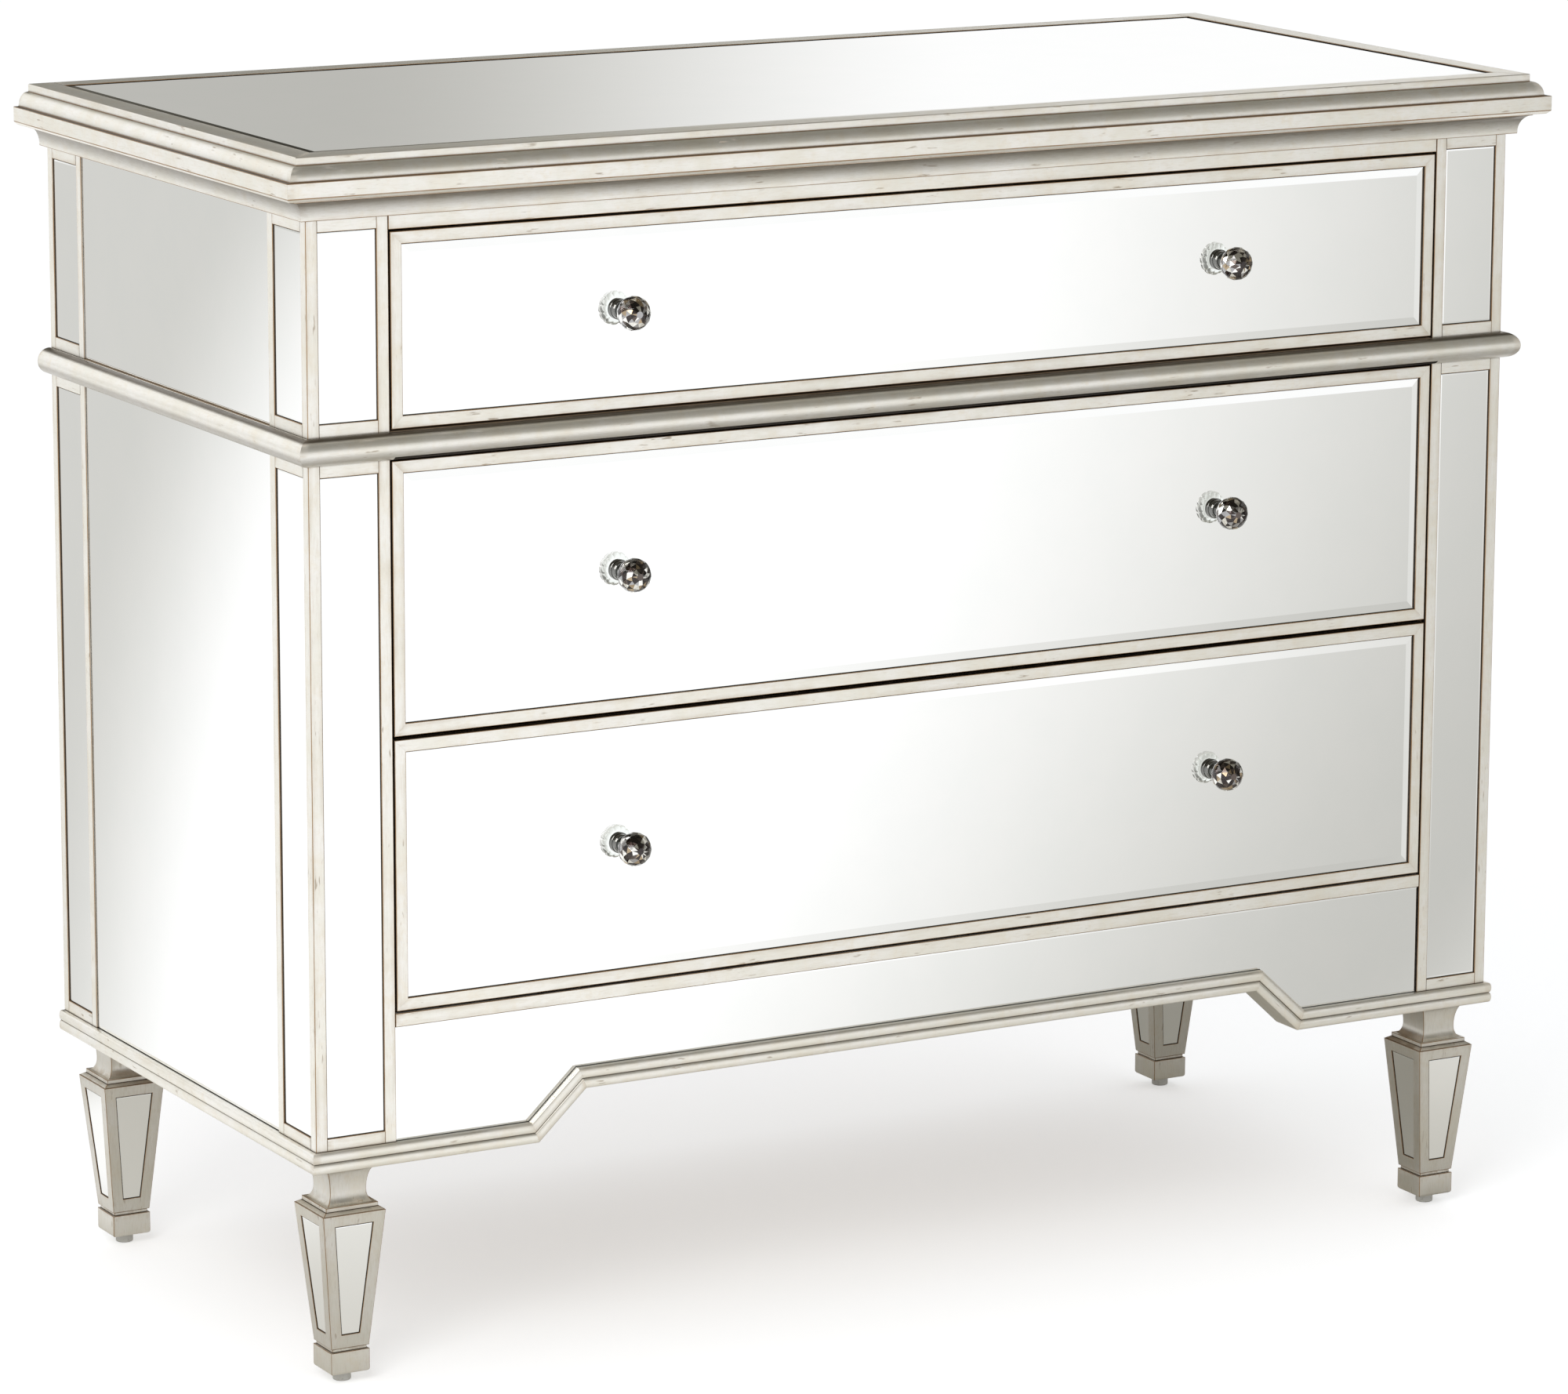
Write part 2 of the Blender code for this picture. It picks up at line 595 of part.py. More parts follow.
def make_back():
    """The back panel between the rear posts."""
    half = OPENING_HALF_WIDTH - CONTACT_GAP
    box("back_panel", (-half, BACK_Y - BACK_PANEL_THICKNESS, BASE_BOTTOM), (half, BACK_Y, CASE_TOP),
        BACK_BOARD)


def leg_profile():
    """The leg's half widths and heights, from top to bottom."""
    neck_waist = PLATE_TOP + NECK_FOOT_HEIGHT
    neck_head = neck_waist + NECK_HEAD_HEIGHT
    head_half = NECK_HEAD_WIDTH / 2
    foot_half = NECK_FOOT_WIDTH / 2
    waist_half = NECK_WAIST_WIDTH / 2
    plate_half = PLATE_WIDTH / 2
    profile = [(0, LEG_TOP), (head_half, LEG_TOP)]
    profile += arc((head_half, neck_waist), (head_half - waist_half, neck_head - neck_waist),
                   90, 180, ARC_STEPS)
    profile += arc((foot_half, neck_waist), (foot_half - waist_half, NECK_FOOT_HEIGHT),
                   180, 270, ARC_STEPS)[1:]
    profile += [(plate_half, PLATE_TOP), (plate_half, PLATE_BOTTOM),
                (TAPER_TOP_WIDTH / 2, TAPER_TOP), (TAPER_BOTTOM_WIDTH / 2, TAPER_BOTTOM),
                (GROOVE_WIDTH / 2, TAPER_BOTTOM), (GROOVE_WIDTH / 2, FOOT_TOP),
                (FOOT_WIDTH / 2, FOOT_TOP), (FOOT_WIDTH / 2, GLIDE_HEIGHT + FOOT_ROUNDING),
                (FOOT_WIDTH / 2 - FOOT_ROUNDING, GLIDE_HEIGHT), (0, GLIDE_HEIGHT)]
    return profile


def taper_half_width(height):
    """Half the width of the leg's tapered body at a height."""
    share = (height - TAPER_BOTTOM) / TAPER_HEIGHT
    return (TAPER_BOTTOM_WIDTH + (TAPER_TOP_WIDTH - TAPER_BOTTOM_WIDTH) * share) / 2


def leg_recess_mesh():
    """The cutter of one mirror recess, on the leg's -Y face."""
    rings = []
    for offset in (LEG_RECESS_DEPTH, -CUT_OVERRUN):
        ring = []
        for height in (TAPER_BOTTOM + LEG_MIRROR_FOOT, TAPER_TOP - LEG_MIRROR_HEAD):
            half = taper_half_width(height)
            reach = half - LEG_MIRROR_BORDER
            corners = [(-reach, offset - half, height), (reach, offset - half, height)]
            ring += corners if not ring else reversed(corners)
        rings.append(ring)
    return loft_mesh("leg_recess", rings)


def make_legs():
    """Four square legs with a recessed panel in each face, and their glides."""
    # A square turning has its corners on the axes, so it is turned by an eighth.
    eighth = math.radians(45)
    profile = [(half * math.sqrt(2), height) for half, height in leg_profile()]
    glide_top = GLIDE_HEIGHT - CONTACT_GAP
    glide = [(0, glide_top), (GLIDE_RADIUS, glide_top), (GLIDE_RADIUS, 0), (0, 0)]
    recess = leg_recess_mesh()
    for end, leg_y in (("front", FRONT_Y + LEG_FRONT_INSET), ("rear", BACK_Y - LEG_REAR_INSET)):
        for side_name, side in (("left", -1), ("right", 1)):
            name = f"{end}_{side_name}"
            place = (side * (SIDE_X - LEG_SIDE_INSET), leg_y, 0)
            leg = turned(f"{name}_leg", profile, 4, SILVER_LEAF, place, (0, 0, eighth))
            for face in range(4):
                turn = (0, 0, face * math.radians(90))
                subtract(leg, add_cutter(f"{name}_leg_recess_{face + 1}", recess, place, turn))
            turned(f"{name}_glide", glide, GLIDE_SIDES, GLIDE_PLASTIC, place)


def knob_profile(screw_length):
    """A knob turned about its axis, from the tip to the screw's head. Height zero is
    the back of the rosette."""
    cup_top = BALL_STANDOFF - BALL_HALF_LENGTH * math.sqrt(1 - (CUP_RADIUS / BALL_RADIUS) ** 2)
    collar_1 = ROSETTE_THICKNESS + COLLAR_LENGTH
    collar_2 = collar_1 + COLLAR_LENGTH
    cup_angle = -math.degrees(math.acos(CUP_RADIUS / BALL_RADIUS))
    ball = arc((0, BALL_STANDOFF), (BALL_RADIUS, BALL_HALF_LENGTH), 90, cup_angle, BALL_STEPS)
    stem = [(CUP_RADIUS, cup_top - CUP_LENGTH / 2),
            (COLLAR_NECK_RADIUS, cup_top - CUP_LENGTH),
            (COLLAR_NECK_RADIUS, collar_2),
            (COLLAR_RADIUS - COLLAR_STEP, collar_2), (COLLAR_RADIUS - COLLAR_STEP, collar_1),
            (COLLAR_RADIUS, collar_1), (COLLAR_RADIUS, ROSETTE_THICKNESS),
            (ROSETTE_RADIUS, ROSETTE_THICKNESS), (ROSETTE_RADIUS, 0),
            (SCREW_RADIUS, 0), (SCREW_RADIUS, -screw_length),
            (SCREW_HEAD_RADIUS, -screw_length),
            (SCREW_HEAD_RADIUS, -screw_length - SCREW_HEAD_THICKNESS),
            (0, -screw_length - SCREW_HEAD_THICKNESS)]
    return [(0, BALL_STANDOFF + BALL_HALF_LENGTH)] + ball[1:] + stem


def hole_mesh(length):
    """The cutter of a knob's hole, along local Z."""
    mesh = bpy.data.meshes.new("knob_hole")
    shape = bmesh.new()
    radius = SCREW_RADIUS + HOLE_CLEARANCE
    bmesh.ops.create_cone(shape, cap_ends=True, segments=HOLE_SIDES, radius1=radius,
                          radius2=radius, depth=length)
    shape.to_mesh(mesh)
    shape.free()
    return mesh


def make_drawer_front(name, bottom, top, slide):
    """The drawer's framed front and the mirror set in it."""
    half = DRAWER_HALF_WIDTH
    edge = FRONT_FRAME_WIDTH
    front = box(f"{name}_front", (-half, FRONT_Y, bottom), (half, FRONT_Y + FRONT_THICKNESS, top),
                SILVER_LEAF, slide)
    cut_box(front, "mirror_recess", (-half + edge, FRONT_Y - CUT_OVERRUN, bottom + edge),
            (half - edge, FRONT_Y + RECESS_DEPTH, top - edge))
    border = edge + CONTACT_GAP
    size = (2 * (half - border), top - bottom - 2 * border)
    middle = (0, DRAWER_MIRROR_Y, (bottom + top) / 2)
    mirror = glass_plate(f"{name}_mirror", size, WIDE_BEVEL, middle, FACING["front"], slide)
    return front, mirror


def make_drawer_box(name, floor, top, slide):
    """The drawer's four walls, and its bottom in a groove round their inside."""
    half = DRAWER_HALF_WIDTH
    walls = box(f"{name}_box", (-half, BOX_FRONT_Y, floor), (half, BOX_BACK_Y, top),
                DRAWER_WOOD, slide)
    cut_box(walls, "inside",
            (-half + BOX_WALL, BOX_FRONT_Y + BOX_WALL, floor - CUT_OVERRUN),
            (half - BOX_WALL, BOX_BACK_Y - BOX_WALL, top + CUT_OVERRUN))
    inset = BOX_WALL - BOX_GROOVE_DEPTH
    groove_floor = floor + BOX_GROOVE_RISE
    groove_top = groove_floor + BOX_BOTTOM_THICKNESS + 2 * CONTACT_GAP
    cut_box(walls, "bottom_groove", (-half + inset, BOX_FRONT_Y + inset, groove_floor),
            (half - inset, BOX_BACK_Y - inset, groove_top))
    inset += CONTACT_GAP
    box(f"{name}_bottom",
        (-half + inset, BOX_FRONT_Y + inset, groove_floor + CONTACT_GAP),
        (half - inset, BOX_BACK_Y - inset, groove_top - CONTACT_GAP), DRAWER_WOOD, slide)
    return walls


def make_knobs(name, pieces, height, slide):
    """The drawer's two knobs, whose screws pass through the given pieces."""
    outwards = (math.radians(90), 0, 0)
    screw_end = BOX_FRONT_Y + BOX_WALL + CONTACT_GAP
    knob_y = DRAWER_MIRROR_Y - CONTACT_GAP
    hole = hole_mesh(screw_end - DRAWER_MIRROR_Y + 2 * CUT_OVERRUN)
    hole_y = (screw_end + DRAWER_MIRROR_Y) / 2
    profile = knob_profile(screw_end - knob_y)
    for side_name, side in (("left", -1), ("right", 1)):
        knob_x = KNOB_SIDE_SHIFT + side * KNOB_SPACING / 2
        cutter = add_cutter(f"{name}_{side_name}_hole", hole, (knob_x, hole_y, height), outwards)
        for piece in pieces:
            subtract(piece, cutter)
        turned(f"{name}_{side_name}_knob", profile, KNOB_SIDES, CRYSTAL,
               (knob_x, knob_y, height), outwards, slide)


def make_drawer(number, bottom, front_height, seat, box_top, knob_rise):
    """A drawer under an empty at its slide. It runs on a frame whose top is the seat."""
    name = f"drawer_{number}"
    middle = bottom + front_height / 2
    slide = bpy.data.objects.new(f"{name}_slide", None)
    slide.location = (0, FRONT_Y, middle)
    chest.objects.link(slide)
    front, mirror = make_drawer_front(name, bottom, bottom + front_height, slide)
    walls = make_drawer_box(name, seat + CONTACT_GAP, box_top, slide)
    make_knobs(name, (front, mirror, walls), middle + knob_rise, slide)


def make_drawers():
    """The shallow top drawer and the two deep ones."""
    make_drawer(1, FRONT_1_BOTTOM, UPPER_FRONT_HEIGHT, WAIST_TOP,
                TOP_FRAME_BOTTOM - UPPER_BOX_HEADROOM, UPPER_KNOB_RISE)
    make_drawer(2, FRONT_2_BOTTOM, LOWER_FRONT_HEIGHT, MIDDLE_FRAME_TOP,
                WAIST_BOTTOM - LOWER_BOX_HEADROOM, LOWER_KNOB_RISE)
    make_drawer(3, FRONT_3_BOTTOM, LOWER_FRONT_HEIGHT, BOTTOM_FRAME_TOP,
                MIDDLE_FRAME_BOTTOM - LOWER_BOX_HEADROOM, LOWER_KNOB_RISE)


make_top()
make_mouldings()
make_posts()
make_sides()
make_frames()
make_apron()
make_back()
make_legs()
make_drawers()
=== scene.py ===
"""Looks of the mirrored chest of drawers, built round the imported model.

Metres, +Z up, front towards -Y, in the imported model's own frame.
"""
from functools import partial, reduce
import math
import random

import bmesh
import bpy
from mathutils import Matrix, Vector


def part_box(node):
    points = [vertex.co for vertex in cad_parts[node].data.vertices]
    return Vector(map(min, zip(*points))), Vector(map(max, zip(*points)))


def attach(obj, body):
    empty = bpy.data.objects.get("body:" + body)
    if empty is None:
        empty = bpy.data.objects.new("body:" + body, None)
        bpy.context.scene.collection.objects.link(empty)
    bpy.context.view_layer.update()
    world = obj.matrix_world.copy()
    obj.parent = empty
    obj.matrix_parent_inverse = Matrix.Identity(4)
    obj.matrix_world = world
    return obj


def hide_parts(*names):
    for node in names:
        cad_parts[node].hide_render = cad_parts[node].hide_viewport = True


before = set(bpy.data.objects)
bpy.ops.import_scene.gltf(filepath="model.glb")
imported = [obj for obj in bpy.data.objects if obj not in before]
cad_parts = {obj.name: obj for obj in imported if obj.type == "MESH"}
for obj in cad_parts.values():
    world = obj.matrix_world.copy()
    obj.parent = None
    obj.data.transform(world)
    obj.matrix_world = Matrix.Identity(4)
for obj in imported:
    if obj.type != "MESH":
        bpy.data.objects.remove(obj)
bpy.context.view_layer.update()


# Camera
FOCAL_LENGTH = 152.99
SENSOR_WIDTH = 36
CAMERA_PLACE = (-2.5896, -4.6193, 1.5932)
CAMERA_AZIMUTH = 29.195
CAMERA_ELEVATION = -12.213
CAMERA_ROLL = 0.188

# Clearances between boards and at mitres, and the rounding of every arris
BOARD_GAP = 0.00005
MITRE_GAP = 0.00002
ARRIS = 0.0005
CONTACT_GAP = 0.0003
SMOOTH_ANGLE = math.radians(32)

# Mirrors. A bevel is given by its width and its drop
MIRROR_SETBACK = 0.002
FRONT_MIRROR_SETBACK = 0.0013
SIDE_MIRROR_SETBACK = 0.0011
TOP_MIRROR_SETBACK = 0.0004
MIRROR_THICKNESS = 0.004
RECESS_DEPTH = MIRROR_SETBACK + MIRROR_THICKNESS + CONTACT_GAP
WIDE_BEVEL = (0.0062, 0.00050)
NARROW_BEVEL = (0.0012, 0.00008)
TOP_BEVEL = (0.0058, 0.00090)
RIM_WIDTH = 0.0003
RIM_DROP = 0.0002
POST_STILE_WIDTH = 0.0096
POST_RAIL_WIDTH = 0.0098

# Top
TOP_EDGE_REACH = 0.0130
TOP_FRAME_WIDTH = 0.0215
TOP_FILLET_STEP = 0.0010
TOP_ROUNDING = (0.0011, 0.0009)
OVOLO_HEIGHT = 0.0110
OVOLO_REACH = 0.0215
# How much brown glaze and painted shade darkens the top of the ovolo
OVOLO_GLAZE_SHADE = 0.8
BAND_REACH = 0.0259
BAND_HEIGHT = 0.0118
BAND_CHAMFER = 0.0027

# Cornice, waist bead and base moulding
CORNICE_TOP_REACH = 0.0154
CORNICE_FOOT_REACH = 0.0066
CORNICE_FILLET = 0.0016
# How much brown glaze and painted shade darkens the cornice's cove, most at its top
COVE_GLAZE_SHADE = 0.82
WAIST_FLAT = 0.0016
# How much brown glaze and painted shade darkens the waist bead's top and its lower half
BEAD_TOP_GLAZE_SHADE = 0.93
BEAD_FOOT_GLAZE_SHADE = 0.45
BEAD_SHADOW_ANGLE = -44
BASE_DEPTH = 0.028
BASE_FACE_REACH = 0.0030
BASE_BEAD_BULGE = 0.0017
CUTOUT_FOOT_HALF_WIDTH = 0.3480
CUTOUT_HEAD_HALF_WIDTH = 0.3070
CUTOUT_RISE = 0.0380

# Legs, from the glide up
GLIDE_HEIGHT = 0.0085
FOOT_WIDTH = 0.0325
FOOT_HEIGHT = 0.0181
FOOT_ROUNDING = 0.0025
GROOVE_WIDTH = 0.0290
GROOVE_HEIGHT = 0.0028
TAPER_BOTTOM_WIDTH = 0.0318
TAPER_TOP_WIDTH = 0.0526
TAPER_HEIGHT = 0.1090
SHOULDER_HEIGHT = 0.0022
PLATE_WIDTH = 0.0438
PLATE_HEIGHT = 0.0034
NECK_FOOT_WIDTH = 0.0400
NECK_WAIST_WIDTH = 0.0303
NECK_HEAD_WIDTH = 0.0430
NECK_FOOT_HEIGHT = 0.0095
NECK_HEAD_HEIGHT = 0.0190
NECK_LIP_HEIGHT = 0.0025
LEG_MIRROR_BORDER = 0.0094
LEG_MIRROR_HEAD = 0.0090
LEG_MIRROR_FOOT = 0.0110
LEG_RECESS_DEPTH = 0.0030
LEG_MIRROR_SETBACK = 0.0007
LEG_MIRROR_BEVEL = (0.0005, 0.00006)
# How much brown glaze and painted shade darkens the legs and their feet
LEG_GLAZE_SHADE = 0.26
FOOT_GLAZE_SHADE = 0.14

# Drawers and web frames
FRONT_FRAME_WIDTH = 0.0095
BOX_WALL = 0.012
SHALLOW_BOX_HEIGHT = 0.14
DOVETAILS = 4
DOVETAIL_NECK = 0.24
DOVETAIL_FLARE = 0.0016
FRAME_RAIL_WIDTH = 0.055
RUNNER_REACH = 0.030

# Knobs
ROSETTE_RADIUS = 0.0131
ROSETTE_THICKNESS = 0.0055
SCALLOPS = 12
SCALLOP_DEPTH = 0.060
COLLAR_RADIUS = 0.0081
COLLAR_LENGTH = 0.0045
COLLAR_NECK_RADIUS = 0.0052
CUP_RADIUS = 0.0078
BALL_RADIUS = 0.0134
BALL_HALF_LENGTH = 0.0116
BALL_SIDES = 12
FACET_LATITUDES = (76, 54, 31, 9, -13, -34)
CUP_ANGLE = math.acos(CUP_RADIUS / BALL_RADIUS)
CORE_SHARE = 0.80
SCREW_RADIUS = 0.0022
SCREW_HEAD_RADIUS = 0.0045
SCREW_HEAD_THICKNESS = 0.0025
KNOB_LIP = 0.0008
# The rosette's rim, as shares of its radius and thickness
ROSETTE_RIM = ((0.94, 0), (1.0, 0.12), (1.0, 0.34), (0.93, 0.62), (0.82, 0.86), (0.70, 0.97),
               (0.62, 1.0))

ARC_STEPS = 18
TURNED_SIDES = 48
ALONG_X = (1, 0, 0)
ALONG_Y = (0, 1, 0)
ALONG_Z = (0, 0, 1)

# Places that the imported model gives
POST_LOW, POST_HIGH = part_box("front_left_post")
SIDE_X = -POST_LOW.x
OPENING_HALF_WIDTH = -POST_HIGH.x
FRONT_Y = POST_LOW.y
FRONT_POST_BACK_Y = POST_HIGH.y
BACK_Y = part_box("rear_left_post")[1].y
BASE_BOTTOM = POST_LOW.z
CASE_TOP = POST_HIGH.z
WAIST_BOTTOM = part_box("waist_moulding")[0].z
WAIST_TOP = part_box("waist_moulding")[1].z
CORNICE_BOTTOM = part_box("cornice_moulding")[0].z
TOP_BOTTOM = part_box("top_slab")[0].z
TOP_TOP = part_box("top_slab")[1].z
TOP_BACK_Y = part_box("top_mirror")[1].y + CONTACT_GAP + TOP_FRAME_WIDTH
BASE_TOP = BASE_BOTTOM + 0.0162


# Shader nodes

class Nodes:
    """Adds nodes to a material's or world's tree, each by its type's short name."""

    def __init__(self, tree):
        self.tree = tree

    def add(self, kind, inputs=(), **settings):
        """A node with settings, its inputs given as (name or number, value or socket)."""
        node = self.tree.nodes.new("ShaderNode" + kind)
        for name, value in settings.items():
            setattr(node, name, value)
        for name, value in inputs:
            self.feed(node, name, value)
        return node

    def feed(self, node, name, value):
        """Links or sets one input of a node."""
        if isinstance(value, bpy.types.NodeSocket):
            self.tree.links.new(value, node.inputs[name])
        else:
            node.inputs[name].default_value = value

    def math(self, operation, *values):
        return self.add("Math", enumerate(values), operation=operation).outputs[0]

    def times(self, *values):
        return reduce(partial(self.math, "MULTIPLY"), values)

    def plus(self, *values):
        return reduce(partial(self.math, "ADD"), values)

    def most(self, *values):
        return reduce(partial(self.math, "MAXIMUM"), values)

    def line(self, value, slope, start):
        """The value times a slope, with a start added."""
        return self.math("MULTIPLY_ADD", value, slope, start)

    def vector(self, operation, first, second):
        slot = "Scale" if operation == "SCALE" else 1
        node = self.add("VectorMath", [(0, first), (slot, second)], operation=operation)
        return node.outputs["Value" if operation == "DOT_PRODUCT" else "Vector"]

    def parts(self, place):
        """The X, Y and Z of a vector."""
        return self.add("SeparateXYZ", [(0, place)]).outputs

    def noise(self, place, scale, detail=3, roughness=0.5):
        return self.add("TexNoise", [("Vector", place), ("Scale", scale), ("Detail", detail),
                                     ("Roughness", roughness)]).outputs["Fac"]

    def ramp(self, value, low, high, start=0.0, end=1.0):
        """Runs smoothly from start, at low, to end, at high."""
        return self.add("MapRange", enumerate((value, low, high, start, end)),
                        interpolation_type="SMOOTHSTEP").outputs[0]

    def mix(self, share, first, second):
        """Runs from the first number to the second."""
        return self.add("Mix", [(0, share), (2, first), (3, second)]).outputs[0]

    def blend(self, share, first, second):
        """Runs from the first colour to the second."""
        colours = [colour if isinstance(colour, bpy.types.NodeSocket) else (*colour, 1)
                   for colour in (first, second)]
        return self.add("Mix", [(0, share), (6, colours[0]), (7, colours[1])],
                        data_type="RGBA").outputs[2]

    def layers(self, colour, *layers):
        """Lays colours over the first one, each given with its share."""
        for share, cover in layers:
            colour = self.blend(share, colour, cover)
        return colour

    def occlusion(self, distance, inside=False):
        """How open a point is: inside the piece it is low along its arrises."""
        return self.add("AmbientOcclusion", [("Distance", distance)], samples=4,
                        inside=inside, only_local=inside).outputs["AO"]

    def bump(self, height, distance, strength=1.0):
        return self.add("Bump", [("Height", height), ("Distance", distance),
                                 ("Strength", strength)]).outputs[0]

    def place(self):
        """The place on the piece, which moves with it."""
        return self.add("TexCoord").outputs["Object"]

    def attribute(self, name, output="Fac"):
        return self.add("Attribute", attribute_name=name).outputs[output]

    def grain(self, stretch):
        """The place on the piece, drawn out along each board's grain and shifted for each
        board, so that neighbouring boards differ."""
        place = self.place()
        grain = self.attribute("grain", "Vector")
        along = self.vector("DOT_PRODUCT", place, grain)
        pulled = self.vector("SCALE", grain, self.times(along, 1 - 1 / stretch))
        shift = self.vector("SCALE", (0.37, 0.61, 0.83), self.attribute("board"))
        return self.vector("ADD", self.vector("SUBTRACT", place, pulled), shift)


def make_material(name, recipe, *values, view=None):
    """A material whose shader takes what its recipe gives. view is its plain colour, or
    else the recipe's first value is."""
    material = bpy.data.materials.new(name)
    material.use_nodes = True
    material.diffuse_color = (*(view or values[0]), 1)
    nodes = Nodes(material.node_tree)
    shader = material.node_tree.nodes["Principled BSDF"]
    for socket, value in recipe(nodes, *values).items():
        nodes.feed(shader, socket, value)
    return material


def silver_leaf(nodes, bare):
    """Champagne silver leaf over grained wood: brown pores along the grain, brown glaze
    with painted shade in the coves, at the moulding roots, on the legs and in concave
    corners, and tan rub beside the arrises. bare gives the share of the leaf that is
    rubbed right off, as it is on the arrises themselves."""
    place = nodes.place()
    grain = nodes.grain(7)
    blush = nodes.noise(place, 70, 4, 0.7)
    streaks = nodes.noise(grain, 700, 4, 0.7)
    cluster = nodes.ramp(nodes.noise(place, 30, 3, 0.6), 0.52, 0.66)
    pores = nodes.times(nodes.ramp(nodes.noise(grain, 420, 2, 0.5), 0.62, 0.69), cluster)
    rub_noise = nodes.noise(grain, 75, 4, 0.7)
    rub = nodes.ramp(rub_noise, 0.28, 0.52, 0.6 * bare, bare)
    worn = nodes.times(nodes.ramp(nodes.occlusion(0.0050, inside=True), 0.90, 0.55),
                       nodes.ramp(rub_noise, 0.42, 0.64))
    # Painted shade in concave corners, brown like glaze, which also dulls the metal there
    glaze_and_corner_shade = nodes.ramp(nodes.occlusion(0.0018), 0.92, 0.50)
    # Brown glaze and painted shade, as much as each face is given
    glaze = nodes.times(nodes.attribute("glaze"), nodes.ramp(streaks, 0.25, 0.70, 0.92, 1.0))
    colour = nodes.layers(
        (0.935, 0.918, 0.872),
        (nodes.ramp(nodes.noise(place, 24, 4, 0.65), 0.34, 0.68), (0.880, 0.852, 0.765)),
        (nodes.ramp(blush, 0.50, 0.72, 0, 0.7), (0.885, 0.832, 0.725)),
        (nodes.ramp(blush, 0.50, 0.30, 0, 0.5), (0.87, 0.87, 0.80)),
        (nodes.ramp(streaks, 0.46, 0.74, 0, 0.35), (0.74, 0.67, 0.57)),
        (nodes.times(pores, 0.62), (0.34, 0.25, 0.155)),
        (nodes.times(worn, 0.42), (0.56, 0.44, 0.29)),
        (rub, (0.36, 0.225, 0.115)),
        (glaze, (0.085, 0.062, 0.038)),
        (nodes.times(glaze_and_corner_shade, 0.90), (0.085, 0.058, 0.035)))
    dull = nodes.most(nodes.times(glaze_and_corner_shade, 0.5), worn, rub, pores)
    rough = nodes.line(nodes.noise(place, 160, 3), 0.12, 0.29)
    height = nodes.line(pores, -0.8, nodes.times(streaks, 0.15))
    return {"Base Color": colour, "Metallic": nodes.line(dull, -0.5, 0.92),
            "Roughness": nodes.line(dull, 0.15, rough),
            "Normal": nodes.bump(height, 0.00005, 0.5)}


def stained(nodes, dark, light, roughness, gloss):
    """Wood with a stain: darker and lighter along the grain."""
    grain = nodes.grain(24)
    rings = nodes.noise(grain, 70, 4, 0.6)
    fibre = nodes.noise(grain, 700, 3, 0.6)
    shade = tuple(value * 0.6 for value in dark)
    return {"Base Color": nodes.layers(dark, (nodes.ramp(rings, 0.34, 0.66), light),
                                       (nodes.ramp(fibre, 0.55, 0.75, 0, 0.6), shade)),
            "Specular IOR Level": gloss, "Roughness": nodes.line(fibre, 0.25, roughness - 0.12),
            "Normal": nodes.bump(nodes.plus(fibre, rings), 0.00015, 0.5)}


def bare_wood(nodes, pale, late, knotty):
    """Planed wood with growth lines drawn out along the board, fine pores, and painted
    shade darkening its inside corners.
    """
    waves = nodes.add("TexWave", [("Vector", nodes.grain(14)), ("Scale", 34.0),
                                  ("Distortion", 5.5), ("Detail", 2.5), ("Detail Scale", 1.6)],
                      wave_type="BANDS", bands_direction="DIAGONAL").outputs["Fac"]
    pores = nodes.ramp(nodes.noise(nodes.grain(40), 900, 2), 0.60, 0.70)
    lines = nodes.times(nodes.ramp(waves, 0.45, 0.98), knotty)
    bend = nodes.ramp(nodes.noise(nodes.grain(5), 9, 2), 0.35, 0.65, 0, 0.5)
    # Painted shade: darker in the corners where the wood is closed in
    corner = nodes.ramp(nodes.occlusion(0.02), 0.85, 0.35, 0, 0.45)
    deep = tuple(value * 0.55 for value in late)
    return {"Base Color": nodes.layers(pale, (bend, late), (lines, late),
                                       (nodes.times(pores, 0.45), deep), (corner, deep)),
            "Roughness": nodes.line(lines, -0.10, 0.58),
            "Normal": nodes.bump(nodes.math("SUBTRACT", lines, pores), 0.0002, 0.35)}


def fibre_board(nodes):
    """Brown hardboard with short fibres and a faint press mark."""
    place = nodes.place()
    flecks = nodes.add("TexVoronoi", [("Vector", place), ("Scale", 340.0)],
                       feature="F1").outputs["Distance"]
    patch = nodes.noise(place, 6, 5, 0.6)
    colour = nodes.layers((0.33, 0.235, 0.155),
                          (nodes.ramp(patch, 0.35, 0.7), (0.24, 0.165, 0.105)),
                          (nodes.ramp(flecks, 0.2, 0.62, 0, 0.35), (0.15, 0.10, 0.065)))
    return {"Base Color": colour, "Roughness": nodes.line(patch, 0.2, 0.62),
            "Normal": nodes.bump(flecks, 0.0002, 0.4)}


def mirror_face(nodes):
    """Clear silvered glass with the faintest haze and wave."""
    place = nodes.place()
    haze = nodes.noise(place, 22, 4, 0.6)
    return {"Base Color": nodes.blend(nodes.ramp(haze, 0.3, 0.7), (0.985, 0.99, 0.985),
                                      (0.97, 0.98, 0.975)),
            "Metallic": 1.0, "Roughness": nodes.ramp(haze, 0.45, 0.85, 0.008, 0.03),
            "Normal": nodes.bump(nodes.noise(place, 3.5, 1), 0.00025, 0.25)}


def ground_glass(nodes, light, dark, metallic):
    """The ground edge of a mirror, dark green from the side and pale blue at its rim."""
    grind = nodes.noise(nodes.place(), 900, 2)
    return {"Base Color": nodes.blend(grind, dark, light), "Metallic": metallic,
            "Roughness": nodes.line(grind, 0.25, 0.14), "Coat Weight": 0.5,
            "Coat Roughness": 0.08}


